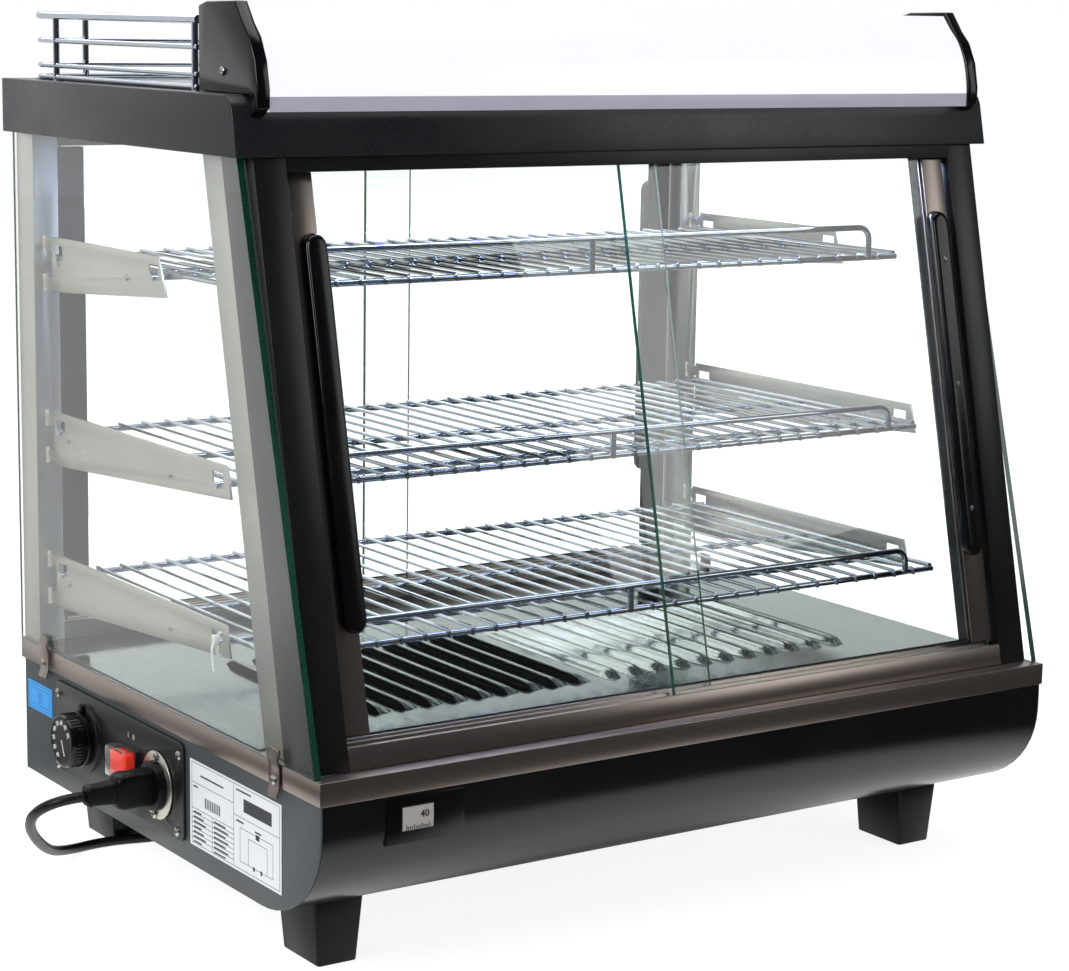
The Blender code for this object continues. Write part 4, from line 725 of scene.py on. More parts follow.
def place_screws(
    name: str, spots: Iterable[Point], way: Point, radius: float, body: str = "cabinet", recess: Any = SHADE_AND_PRINT_DARK
) -> None:
    """Makes one piece of pan-head screws that face the same way.

    Args:
        name: The piece's name.
        spots: Middles of their seats.
        way: The way their heads face.
        radius: The heads' radius.
        body: The body they move with.
        recess: Finish of the crosses on their heads; the dark default is painted shade standing in for the recess.
    """
    heads = joined(screw(spot, way, radius) for spot in spots)
    place(name, heads, body, [ZINC, recess], "bright_steel")


def soft_box(name: str, spot: Matrix, size: tuple[float, float], power: float, colour: str) -> None:
    """Adds a rectangular lamp.

    Args:
        name: Its name.
        spot: Where it hangs and how it is turned, in case coordinates.
        size: Width and height.
        power: Watts.
        colour: sRGB hex.
    """
    data = bpy.data.lights.new(name, "AREA")
    data.shape = "RECTANGLE"
    data.size, data.size_y = size
    data.energy = power
    data.color = linear(colour)[:3]
    lamp = bpy.data.objects.new(name, data)
    lamp.matrix_world = Matrix.Translation(ORIGIN) @ spot
    bpy.context.scene.collection.objects.link(lamp)


# ---- Studio ------------------------------------------------------------------------------------


@dataclass
class Studio:
    """Camera, pale floor and soft lights."""

    eye: tuple[float, float, float] = (-1.1789, -1.5000, 0.6706)
    azimuth: float = math.radians(34.096)
    down: float = math.radians(10.079)
    tilt: float = 0.0160
    lens: float = 90.17
    floor_size: float = 14.0
    counter: str = "#B4B4B4"
    counter_mirrored: str = "#2A2A2A"
    room_front: str = "#3A3D40"
    room_back: str = "#E9EBED"
    pane_gain: float = 0.08

    def camera(self) -> None:
        """Makes the camera. It stands to the left of the case and slightly above its middle."""
        level = Vector((math.sin(self.azimuth), math.cos(self.azimuth), 0.0))
        ahead = level * math.cos(self.down) - Vector((0, 0, math.sin(self.down)))
        flat_right = Vector((math.cos(self.azimuth), -math.sin(self.azimuth), 0.0))
        flat_up = flat_right.cross(ahead)
        roll = math.asin(self.tilt / math.cos(self.down))
        right = flat_right * math.cos(roll) + flat_up * math.sin(roll)
        up = right.cross(ahead)
        data = bpy.data.cameras.new("camera")
        data.sensor_width = 36.0
        data.lens = self.lens
        camera = bpy.data.objects.new("camera", data)
        turn = Matrix((right, up, -ahead)).transposed().to_4x4()
        camera.matrix_world = Matrix.Translation(Vector(self.eye) + ORIGIN) @ turn
        bpy.context.scene.collection.objects.link(camera)
        bpy.context.scene.camera = camera

    def lamp(self, name: str, spot: Point, aim: Point, size: tuple[float, float], power: float) -> None:
        """Adds a white lamp that points at a spot.

        Args:
            name: Its name.
            spot: Where it hangs, in case coordinates.
            aim: What it points at.
            size: Width and height.
            power: Watts.
        """
        turn = (Vector(aim) - Vector(spot)).to_track_quat("-Z", "Y").to_matrix().to_4x4()
        soft_box(name, Matrix.Translation(Vector(spot)) @ turn, size, power, "#FFFFFF")

    def world(self) -> None:
        """A white room: plain white behind the case, and a softer grey for what mirrors see."""
        world = bpy.data.worlds.new("room")
        bpy.context.scene.world = world
        world.use_nodes = True
        tree = world.node_tree
        tree.nodes.clear()
        path = add_node(tree, "ShaderNodeLightPath").outputs
        bounced = calculated(tree, "ADD", path["Glossy Depth"], path["Diffuse Depth"], clamp=True)
        place = add_node(tree, "ShaderNodeTexCoord").outputs["Generated"]
        parts = add_node(tree, "ShaderNodeSeparateXYZ", {}, {"Vector": place})
        share = ranged(tree, parts.outputs["Y"], (-0.1, 0.9))
        room = blended(tree, share, linear(self.room_front), linear(self.room_back))
        white = {"data_type": "RGBA", 6: linear("#FFFFFF")}
        colour = add_node(tree, "ShaderNodeMix", white, {0: bounced, 7: room}).outputs[2]
        power = calculated(tree, "MULTIPLY_ADD", path["Transmission Depth"], self.pane_gain, 1.0)
        back = add_node(tree, "ShaderNodeBackground", {}, {"Color": colour, "Strength": power})
        output = add_node(tree, "ShaderNodeOutputWorld")
        tree.links.new(back.outputs[0], output.inputs[0])

    def floor(self) -> None:
        """The pale counter, which glows. Mirrors see painted light on it: bright close to the case, with painted
        shadow right under the case, bright far behind it, and dark in front.
        """
        bm = bmesh.new()
        bmesh.ops.create_grid(bm, x_segments=1, y_segments=1, size=self.floor_size / 2)
        mesh = bpy.data.meshes.new("floor")
        bm.to_mesh(mesh)
        bm.free()
        material, tree, output = empty_material("studio_floor")
        path = add_node(tree, "ShaderNodeLightPath").outputs
        mirrored = calculated(tree, "MINIMUM", path["Glossy Depth"], 1.0)
        tone = blended(tree, mirrored, linear(self.counter), linear(self.counter_mirrored))
        paint = add_node(tree, "ShaderNodeBsdfDiffuse", {}, {"Color": tone})
        place = add_node(tree, "ShaderNodeTexCoord").outputs["Object"]
        flat = add_node(
            tree, "ShaderNodeVectorMath", {"operation": "MULTIPLY", 1: (0.7, 1.0, 0.0)}, {0: place}
        ).outputs[0]
        apart = add_node(tree, "ShaderNodeVectorMath", {"operation": "LENGTH"}, {0: flat}).outputs["Value"]
        # Painted light and shadow for mirrors: a glowing band round the case, dimmed right under it where the case
        # would shade it.
        near = ranged(tree, apart, (0.38, 0.47), (1.05, 0.03))
        shade = ranged(tree, apart, (0.16, 0.26), (0.15, 1.0))
        depth = add_node(tree, "ShaderNodeSeparateXYZ", {}, {"Vector": place}).outputs["Y"]
        behind = ranged(tree, depth, (0.10, 0.90), (0.0, 0.80))
        mirror = calculated(tree, "MAXIMUM", calculated(tree, "MULTIPLY", near, shade), behind)
        direct = calculated(tree, "MULTIPLY_ADD", path["Transmission Depth"], 0.09, 0.88)
        glow = add_node(
            tree, "ShaderNodeMix", {"data_type": "FLOAT"}, {0: mirrored, 2: direct, 3: mirror}
        ).outputs[0]
        light = add_node(tree, "ShaderNodeEmission", {}, {"Strength": glow})
        both = add_node(tree, "ShaderNodeAddShader", {}, {0: paint.outputs[0], 1: light.outputs[0]})
        tree.links.new(both.outputs[0], output.inputs[0])
        mesh.materials.append(material)
        floor = bpy.data.objects.new("floor", mesh)
        bpy.context.scene.collection.objects.link(floor)

    def build(self) -> None:
        """Sets up the whole studio."""
        bpy.context.scene.view_settings.view_transform = "Standard"
        self.camera()
        self.world()
        self.floor()
        self.lamp("key_left", (-2.1, -0.6, 1.5), (0.0, 0.2, 0.3), (1.4, 1.2), 30.0)
        self.lamp("fill_right", (1.8, -1.6, 1.2), (0.0, 0.2, 0.2), (1.2, 1.2), 8.0)
        self.lamp("top", (0.0, 0.3, 2.2), (0.0, 0.25, 0.0), (2.0, 1.6), 26.0)
        self.lamp("back_high", (0.3, 2.2, 1.9), (0.0, 0.3, 0.2), (2.2, 1.2), 14.0)


# ---- Cord --------------------------------------------------------------------------------------


# The route from the connector to the coil under the body, as the frame has it.
CORD_ROUTE = (
    (-0.3926, 0.2435, 0.0992),
    (-0.4012, 0.2439, 0.0990),
    (-0.4093, 0.2462, 0.0976),
    (-0.4158, 0.2512, 0.0944),
    (-0.4198, 0.2592, 0.0892),
    (-0.4203, 0.2705, 0.0815),
    (-0.4165, 0.2842, 0.0715),
    (-0.4085, 0.3000, 0.0601),
    (-0.3962, 0.3195, 0.0468),
    (-0.3805, 0.3430, 0.0325),
    (-0.3630, 0.3680, 0.0195),
    (-0.3450, 0.3890, 0.0105),
    (-0.3265, 0.4030, 0.0055),
    (-0.3080, 0.4095, 0.0041),
    (-0.2870, 0.4085, 0.0041),
    (-0.2640, 0.4030, 0.0041),
    (-0.2380, 0.3985, 0.0041),
    (-0.2130, 0.3900, 0.0041),
    (-0.1960, 0.3770, 0.0041),
    (-0.1865, 0.3620, 0.0041),
    (-0.1771, 0.3388, 0.0041),
)


@dataclass
class PowerCord:
    """Mains lead: a connector in the inlet, the sheath, its spare length in a coil, and a plug."""

    radius: float = 0.0040
    length: float = 1.76
    coil_centre: tuple[float, float] = (-0.1200, 0.3250)
    wide_turn: float = 0.0492
    tight_turn: float = 0.0410
    layers: tuple[float, float, float] = (0.0041, 0.0122, 0.0203)
    inlet_x: float = -0.3389
    plug_radius: float = 0.0185
    pin_spacing: float = 0.0190

    def coil(self) -> list[tuple[float, float, float]]:
        """The spare length: turns beside and on each other, wound anticlockwise.

        Returns:
            Points of its middle line, about eight degrees apart.
        """
        wide, tight = self.wide_turn, self.tight_turn
        first, second, third = self.layers
        stations = (
            (200, wide, first), (490, wide, first), (555, tight, first), (790, tight, first),
            (850, tight, second), (1080, tight, second), (1145, wide, second), (1365, wide, second),
            (1435, wide, third), (1710, wide, third),
        )
        x, y = self.coil_centre
        points = []
        for (start, r0, z0), (end, r1, z1) in zip(stations, stations[1:]):
            steps = max(2, round((end - start) / 8))
            for i in range(steps):
                share = i / steps
                ease = share * share * (3 - 2 * share)
                angle = math.radians(start + (end - start) * share)
                radius = r0 + (r1 - r0) * ease
                points.append((x + radius * math.cos(angle), y + radius * math.sin(angle), z0 + (z1 - z0) * ease))
        return points

    def line(self) -> list[Vector]:
        """The cord's middle line from inside the connector to inside the plug."""
        exit_y, exit_z = CORD_ROUTE[0][1:]
        start = [(x, exit_y, exit_z) for x in (-0.3450, -0.3560, -0.3680, -0.3800, -0.3910)]
        end_y, top = self.coil_centre[1] - self.wide_turn, self.layers[-1]
        drop = ((-0.1200, top), (-0.1080, top), (-0.0960, top - 0.0004), (-0.0840, 0.0192), (-0.0740, 0.0189))
        last = [(x, end_y, z) for x, z in drop]
        return smoothed([Vector(p) for p in (*start, *CORD_ROUTE, *self.coil(), *last)], 4)

    def connector(self) -> Any:
        """The moulded connector with its smooth strain relief."""
        start = self.inlet_x - 0.0003
        sections = (
            (0.0000, 0.0100, 0.0135), (0.0235, 0.0100, 0.0135), (0.0262, 0.0094, 0.0127),
            (0.0284, 0.0088, 0.0116), (0.0290, 0.0080, 0.0106), (0.0292, 0.0072, 0.0084),
            (0.0350, 0.0070, 0.0081), (0.0410, 0.0067, 0.0077), (0.0476, 0.0064, 0.0073),
            (0.0480, 0.0070, 0.0079), (0.0502, 0.0069, 0.0077), (0.0514, 0.0060, 0.0066),
            (0.0518, 0.0048, 0.0050),
        )
        bm = lofted([(start - along, wide, tall) for along, wide, tall in sections], CORD_ROUTE[0][1:], 0.45)
        return place("cord_connector_made", bm, "cabinet", [ABS_BLACK], "black_plastic", ["cord_connector"], 40)

    def plug(self) -> Any:
        """The two-pin plug that lies at the coil, with its tapered tail and round pins."""
        y, z = self.coil_centre[1] - self.wide_turn, self.plug_radius + 0.0003
        tail, x = -0.0840, -0.0640
        profile = []
        for i in range(5):
            thick = 0.0052 + 0.0006 * i
            for along, radius in ((0.0, thick), (0.0024, thick), (0.0027, thick - 0.0009), (0.0037, thick - 0.0009)):
                profile.append((tail + 0.0040 * i + along, radius))
        body = (
            (0.0, 0.0085), (0.0040, 0.0125), (0.0085, 0.0165), (0.0120, 0.0185), (0.0220, 0.0185),
            (0.0226, 0.0178), (0.0250, 0.0178), (0.0256, 0.0185), (0.0365, 0.0185), (0.0380, 0.0172),
        )
        profile += [(x + along, radius) for along, radius in body]
        parts = [turned(profile, (y, z), 36)]
        face = profile[-1][0]
        pin = [(face - 0.002, 0.0024), (face + 0.0175, 0.0024), (face + 0.0190, 0.0016)]
        for side, _ in SIDES:
            parts.append(coloured(turned(pin, (y + side * self.pin_spacing / 2, z), 16), 1))
        finishes = [ABS_BLACK, ROLLED]
        return place("mains_plug_made", joined(parts), "cabinet", finishes, "black_plastic", ["mains_plug"], 40)

    def build(self) -> None:
        curve = bpy.data.curves.new("mains_lead", "CURVE")
        curve.dimensions = "3D"
        spline = curve.splines.new("POLY")
        points = self.line()
        spline.points.add(len(points) - 1)
        for spot, point in zip(spline.points, points):
            spot.co = (*(point + ORIGIN), 1.0)
        curve.bevel_depth = self.radius
        curve.bevel_resolution = 3
        curve.use_fill_caps = True
        curve.materials.append(PVC_BLACK.material())
        lead = bpy.data.objects.new("mains_lead", curve)
        bpy.context.scene.collection.objects.link(lead)
        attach(lead, "cabinet")
        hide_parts("power_cord", "cord_coil")
        self.connector()
        self.plug()
        LOG.info("mains_lead on cabinet: %d points", len(points))


# ---- Base --------------------------------------------------------------------------------------


@dataclass
class Base:
    """Body panels, curved apron, rim, feet, clips, labels and the heated deck."""

    apron_radii: tuple[float, float] = (0.0850, 0.0733)
    apron_steps: int = 36
    apron_tail: float = 0.0100
    sheet: float = 0.0012
    louvres: int = 21
    louvre_pitch: float = 0.0224
    louvre_width: float = 0.0140
    louvre_rise: float = 0.0055
    louvre_front: float = 0.1285
    louvre_length: float = 0.1945
    louvre_end: float = 0.0120
    deck_lap: float = 0.0030
    post_back: float = 0.0920

    def apron(self) -> None:
        """The curved front apron, a sheet bent round a quarter of an oval."""
        low, high = box_of("front_apron")
        ry, rz = self.apron_radii
        outer, inner = [(low.y, high.z)], [(low.y + self.sheet, high.z)]
        for i in range(self.apron_steps + 1):
            angle = math.pi / 2 * i / self.apron_steps
            across, down = math.cos(angle), math.sin(angle)
            outer.append((low.y + ry - ry * across, low.z + rz - rz * down))
            inner.append((low.y + ry - (ry - self.sheet) * across, low.z + rz - (rz - self.sheet) * down))
        tail = low.y + ry + self.apron_tail
        outline = outer + [(tail, low.z), (tail, low.z + self.sheet)] + inner[::-1]
        bm = slab(outline, "X", low.x, high.x)
        place("front_apron_made", bm, "cabinet", [ENAMEL_BLACK], "black_paint", ["front_apron"])

    def hood(self, x: float, way: int) -> bmesh.types.BMesh:
        """One pressed louvre: open along one long side, faired into the deck on the others.

        Args:
            x: Its middle.
            way: -1 if its mouth looks left, +1 if right.

        Returns:
            The bmesh, a closed shell.
        """
        top = box_of("deck_tray")[0].z + self.sheet
        bm = bmesh.new()
        bmesh.ops.create_grid(bm, x_segments=7, y_segments=22, size=0.5)
        for vert in bm.verts:
            across, along = vert.co.x + 0.5, vert.co.y + 0.5
            end = min(1.0, min(along, 1 - along) * self.louvre_length / self.louvre_end)
            rise = (0.5 + 0.5 * math.cos(math.pi * across**1.3)) * end * end * (3 - 2 * end)
            vert.co = (
                x + way * self.louvre_width * (0.5 - across),
                self.louvre_front + along * self.louvre_length,
                top - 0.0004 + rise * self.louvre_rise,
            )
        if way > 0:
            bmesh.ops.reverse_faces(bm, faces=bm.faces)
        bmesh.ops.recalc_face_normals(bm, faces=bm.faces)
        if sum(f.normal.z for f in bm.faces) < 0:
            bmesh.ops.reverse_faces(bm, faces=bm.faces)
        bmesh.ops.solidify(bm, geom=bm.faces[:], thickness=0.0009)
        bmesh.ops.recalc_face_normals(bm, faces=bm.faces)
        return bm

    def deck(self) -> None:
        """The polished deck with its louvres, and under their mouths dark patches in the deck: painted shade where
        the openings are, not cut.
        """
        low, high = box_of("deck_tray")
        track = box_of("front_track_lower")[1]
        notch, front = track.x - 0.0003, track.y - self.deck_lap
        half = high.x
        outline = [
            (-notch, front), (notch, front), (notch, self.post_back), (half, self.post_back), (half, high.y),
            (-half, high.y), (-half, self.post_back), (-notch, self.post_back),
        ]
        parts = [slab(outline, "Z", low.z, low.z + self.sheet)]
        middle = (self.louvres - 1) / 2
        for i in range(self.louvres):
            x = (i - middle) * self.louvre_pitch
            way = -1 if i < middle else 1
            parts.append(self.hood(x, way))
            mouth = x + way * self.louvre_width * 0.5
            start, end = sorted((mouth - way * 0.0004, mouth - way * 0.0058))
            # A flat dark patch under the mouth: painted shade for the opening into the base.
            slot = block(
                (start, self.louvre_front + 0.007, low.z + 0.0006),
                (end, self.louvre_front + self.louvre_length - 0.007, low.z + self.sheet + 0.0001),
            )
            parts.append(coloured(slot, 1))
        place("deck_tray_made", joined(parts), "cabinet", [ROLLED, SHADE_AND_PRINT_DARK], "bright_steel", ["deck_tray"], 50)

    def feet(self) -> None:
        """Tapered moulded feet with rounded edges."""
        for row in ("front", "rear"):
            for _, word in SIDES:
                refine(f"foot_{row}_{word}", ABS_BLACK, "black_plastic", 1.2, 40, 40)

    def clips(self) -> None:
        """Spring clips that hold the side glass, each with its screw."""
        x = box_of("rim_frame")[1].x + 0.0018
        z = (RIM_LOW.z + RIM_HIGH.z) / 2 - 0.0035
        for row in ("front", "rear"):
            for side, word in SIDES:
                node = f"glass_clip_{row}_{word}"
                low, high = box_of(node)
                refine(node, BRUSHED_Z, "bright_steel", 0.35, 50, 60)
                spot = (side * x, (low.y + high.y) / 2, z)
                place_screws(f"clip_screw_{row}_{word}", [spot], (side, 0, 0), 0.0034)

    def table(self, x: float) -> None:
        """The rating label: a plain ruled table with bars for its words.

        Args:
            x: The side panel's outer face.
        """
        (rear, foot), (front, head) = (0.0560, 0.0675), (0.1940, 0.1320)
        parts = [block((x - 0.0003, rear, foot), (x + 0.0001, front, head))]
        ruled = [(0.02, 0.98, 0.03), (0.02, 0.98, 0.97), (0.02, 0.49, 0.74), (0.49, 0.98, 0.62)]
        ruled += [(0.02, 0.49, 0.44 - 0.058 * k) for k in range(7)]
        ruled += [(0.56, 0.91, 0.50), (0.56, 0.91, 0.12), (0.65, 0.85, 0.42)]
        upright = [(0.02, 0.03, 0.97), (0.98, 0.03, 0.97), (0.49, 0.03, 0.97), (0.25, 0.03, 0.44)]
        upright += [(0.56, 0.12, 0.50), (0.91, 0.12, 0.50), (0.65, 0.12, 0.42), (0.85, 0.12, 0.42)]
        words = [(0.12, 0.38, 0.84), (0.04, 0.09, 0.69), (0.52, 0.68, 0.91), (0.52, 0.60, 0.56)]
        words += [(0.72, 0.79, 0.535)]
        words += [(0.04, 0.13 + 0.025 * (k % 3), 0.392 - 0.058 * k) for k in range(7)]
        words += [(0.27, 0.40 + 0.030 * (k % 2), 0.392 - 0.058 * k) for k in range(7)]
        bars = [(first, up, last, up + 0.006) for first, last, up in ruled]
        bars += [(across, first, across + 0.003, last) for across, first, last in upright]
        bars += [(first, up, last, up + 0.020) for first, last, up in words]
        bars += [(0.17 + 0.020 * k, 0.50, 0.181 + 0.020 * k, 0.62) for k in range(9)]
        bars += [(0.60, 0.70, 0.90, 0.85), (0.73, 0.46, 0.77, 0.52)]
        bars += [(0.70, 0.09, 0.72, 0.14), (0.78, 0.09, 0.80, 0.14)]
        wide, tall = front - rear, head - foot
        for first, low, last, top in bars:
            corner = (x - 0.00035, front - last * wide, foot + low * tall)
            parts.append(coloured(block(corner, (x, front - first * wide, foot + top * tall)), 1))
        place("rating_label", joined(parts), "cabinet", [LABEL_SILVER, INK_DARK], "grey_paint")

    def sticker(self, x: float) -> None:
        """The small plain blue sticker with two printed frames and two rings.

        Args:
            x: The side panel's outer face.
        """
        rear, front, foot, head = 0.4380, 0.4850, 0.1045, 0.1280
        parts = [block((x - 0.0003, rear, foot), (x + 0.0001, front, head))]
        printed, thin, ring = x - 0.00036, 0.0005, 0.0007
        for inset in (0.0016, 0.0048):
            y0, y1, z0, z1 = rear + inset, front - inset, foot + inset, head - inset
            sides = (
                (y0, z0, y1, z0 + thin), (y0, z1 - thin, y1, z1), (y0, z0, y0 + thin, z1), (y1 - thin, z0, y1, z1),
            )
            parts += [coloured(block((printed, a, b), (x, c, d)), 1) for a, b, c, d in sides]
        for reach in (0.0046, 0.0022):
            profile = [(x, reach), (printed, reach), (printed, reach - ring), (x, reach - ring)]
            parts.append(coloured(turned(profile, (0.4615, 0.11625), 24), 1))
        place("blue_sticker", joined(parts), "cabinet", [LABEL_BLUE, INK_BLUE], "grey_paint")

    def build(self) -> None:
        """Makes the whole base."""
        self.apron()
        self.deck()
        self.feet()
        for _, word in SIDES:
            refine(f"side_panel_{word}", POWDER_GREY, "grey_paint", 0.25, 25, 40)
        refine("rim_frame", BRUSHED_X, "stainless", 0.35, 35, 40)
        dress("base_pan", POWDER_GREY)
        self.clips()
        side = box_of("side_panel_left")[0].x
        self.table(side)
        self.sticker(side)


# ---- Controls ----------------------------------------------------------------------------------


@dataclass
class Controls:
    """The plate on the left with thermostat knob, switch and inlet, and the dial thermometer."""

    knob_centre: tuple[float, float] = (0.3695, 0.1053)
    switch_centre: tuple[float, float] = (0.2893, 0.1060)
    inlet_centre: tuple[float, float] = (0.2435, 0.0992)
    knob_radius: float = 0.0220
    flutes: int = 44
    drum_radius: float = 0.1200

    def plate(self) -> None:
        """The plate, its corner screws, the moulded tab over the knob and the switch's two figures."""
        refine("control_plate", POWDER_BLACK, "black_paint", 0.3, 40, 40)
        face = box_of("control_plate")[0].x + 0.0040
        corners = ((0.4220, 0.1300), (0.2090, 0.1300), (0.2120, 0.0714), (0.4220, 0.0714))
        place_screws("plate_screws", [(face, y, z) for y, z in corners], (-1, 0, 0), 0.0036)
        y, z = self.knob_centre
        tab = block((face - 0.0060, y - 0.0040, z + 0.0200), (face + 0.0002, y + 0.0030, z + 0.0268), 0.8)
        marks = []
        for k, text in enumerate("01"):
            spot = (face - 0.0001, self.switch_centre[0] - 0.0045 + 0.0090 * k, 0.1255)
            marks.append(coloured(figures(text, 0.0060, spot, FACING_LEFT), 1))
        place("plate_marks", joined([tab, *marks]), "cabinet", [ABS_BLACK, INK_WHITE], "black_plastic")

    def knob(self) -> None:
        """The knob: a drum with a fluted side, figures round its face and a white line."""
        face, radius = box_of("thermostat_knob")[0].x, self.knob_radius
        back = face + 0.0180
        y, z = self.knob_centre
        profile = [
            (back, radius - 0.0006), (back - 0.0012, radius - 0.0001), (back - 0.0040, radius - 0.0001),
            (back - 0.0046, radius - 0.0010), (face + 0.0022, radius - 0.0010), (face + 0.0006, radius - 0.0018),
            (face, radius - 0.0030), (face + 0.0002, radius - 0.0046), (face + 0.0006, radius - 0.0050),
        ]
        shaft = [(back, 0.0030), (back + 0.0180, 0.0030)]
        parts = [turned(profile, self.knob_centre, 72), turned(shaft, self.knob_centre, 16)]
        foot = radius - 0.0011
        for i in range(self.flutes):
            angle = math.tau * i / self.flutes
            rib_y, rib_z = y + foot * math.cos(angle), z + foot * math.sin(angle)
            parts.append(swept([(back - 0.0050, rib_y, rib_z), (face + 0.0026, rib_y, rib_z)], 0.0006, 6))
        reach = radius - 0.0075
        for i in range(8):
            angle = math.radians(-84 + 30 * i)
            spot = (face + 0.0004, y + reach * math.sin(angle), z + reach * math.cos(angle))
            parts.append(coloured(figures(str(20 + 10 * i), 0.0052, spot, FACING_LEFT, 0.0003), 1))
        line = block((face + 0.0003, y - 0.0006, z - 0.0120), (face + 0.0008, y + 0.0006, z + 0.0010))
        bm = joined([*parts, coloured(line, 1)])
        turn = Matrix.Rotation(math.radians(-24), 3, "X")
        bmesh.ops.rotate(bm, cent=(0, y, z), matrix=turn, verts=bm.verts)
        place("thermostat_knob_made", bm, "knob", [ABS_GLOSS, INK_WHITE], "black_plastic", ["thermostat_knob"], 30)

    def switch(self) -> None:
        """The red rocker and the clear cap over it."""
        refine("switch_rocker", POLY_RED, "red_plastic", 0.9, 45, 20)
        y, z = self.switch_centre
        face = box_of("control_plate")[0].x
        low, high = (face - 0.0115, y - 0.0163, z - 0.0125), (face + 0.0032, y + 0.0163, z + 0.0125)
        shell = block(low, high, 3.0)
        inner = block(
            (low[0] + 0.0010, low[1] + 0.0010, low[2] + 0.0010), (high[0], high[1] - 0.0010, high[2] - 0.0010), 2.4
        )
        bmesh.ops.reverse_faces(inner, faces=inner.faces)
        place("switch_cap", joined([shell, inner]), "cabinet", [CLEAR_CAP], "glass", smooth=45)

    def inlet(self) -> None:
        """The round inlet: its dull flange, the black collar of its socket and two screws."""
        refine("power_inlet", ROLLED_DULL, "bright_steel", 0.4, 50, 40)
        x = box_of("power_inlet")[0].x
        profile = [
            (x + 0.0050, 0.0190), (x + 0.0004, 0.0188), (x - 0.0010, 0.0182), (x - 0.0014, 0.0174),
            (x - 0.0012, 0.0120), (x - 0.0008, 0.0060),
        ]
        place("inlet_collar", turned(profile, self.inlet_centre, 48), "cabinet", [ABS_BLACK], "black_plastic")
        spots = [(x + 0.0048, 0.2415, 0.1220), (x + 0.0048, 0.2455, 0.0765)]
        place_screws("inlet_screws", spots, (-1, 0, 0), 0.0035)

    def thermometer(self) -> None:
        """The dial: a silver drum in the window of a black bezel in the apron; the dark block round and behind the
        drum is painted shade for the window's recess.
        """
        low, high = box_of("thermometer")
        face, bottom = low.y, low.z + 0.0010
        left, right, middle = low.x + 0.0130, low.x + 0.0375, (bottom + high.z) / 2 + 0.0010
        # Painted shade: a dark block that fills the window's recess round the drum.
        window = block(
            (left - 0.0008, face - 0.0003, middle - 0.0090), (right + 0.0008, face + 0.001, middle + 0.0090), 0.3
        )
        dial = turned([(left, self.drum_radius), (right, self.drum_radius)], (face + 0.1193, middle), 720)
        foot, head, rear = (0, 0, middle - 0.0082), (0, 0, middle + 0.0082), (0, face + 0.004, 0)
        for spot, way in ((foot, (0, 0, -1)), (head, (0, 0, 1)), (rear, (0, 1, 0))):
            whole = [*dial.verts, *dial.edges, *dial.faces]
            bmesh.ops.bisect_plane(dial, geom=whole, plane_co=spot, plane_no=way, clear_outer=True)
        bmesh.ops.holes_fill(dial, edges=dial.edges)
        bmesh.ops.recalc_face_normals(dial, faces=dial.faces)
        bezel = block((low.x, face, bottom), (high.x, face + 0.0200, high.z), 0.6)
        parts = [bezel, coloured(window, 2), coloured(dial, 1)]
        foot = middle - 0.0078
        for i in range(13):
            x = left + 0.0030 + (right - left - 0.0060) * i / 12
            tall = 0.0034 if i % 4 == 0 else 0.0020
            parts.append(coloured(block((x - 0.00016, face - 0.0009, foot), (x + 0.00016, face, foot + tall)), 2))
        at = (left + 0.0175, face - 0.0006, middle + 0.0018)
        parts.append(coloured(figures("40", 0.0070, at, FACING_FRONT, 0.0004), 2))
        finishes = [ABS_GLOSS, DIAL_SILVER, SHADE_AND_PRINT_DARK]
        place("thermometer_made", joined(parts), "cabinet", finishes, "black_plastic", ["thermometer"])

    def build(self) -> None:
        """Makes all controls."""
        self.plate()
        self.knob()
        self.switch()
        self.inlet()
        self.thermometer()


# ---- Cabinet -----------------------------------------------------------------------------------


def glazed(node: str) -> None:
    """A pane with clear faces and dark green cut edges.

    Args:
        node: The CAD node that it stands for.
    """
    bm = copy_of(node)
    across = 1 if "door" in node else 0
    for face in bm.faces:
        face.material_index = 0 if abs(face.normal[across]) > 0.9 else 1
    place(f"{node}_made", bm, BODY_OF[node], [PANE, EDGE], "glass", [node], 20)


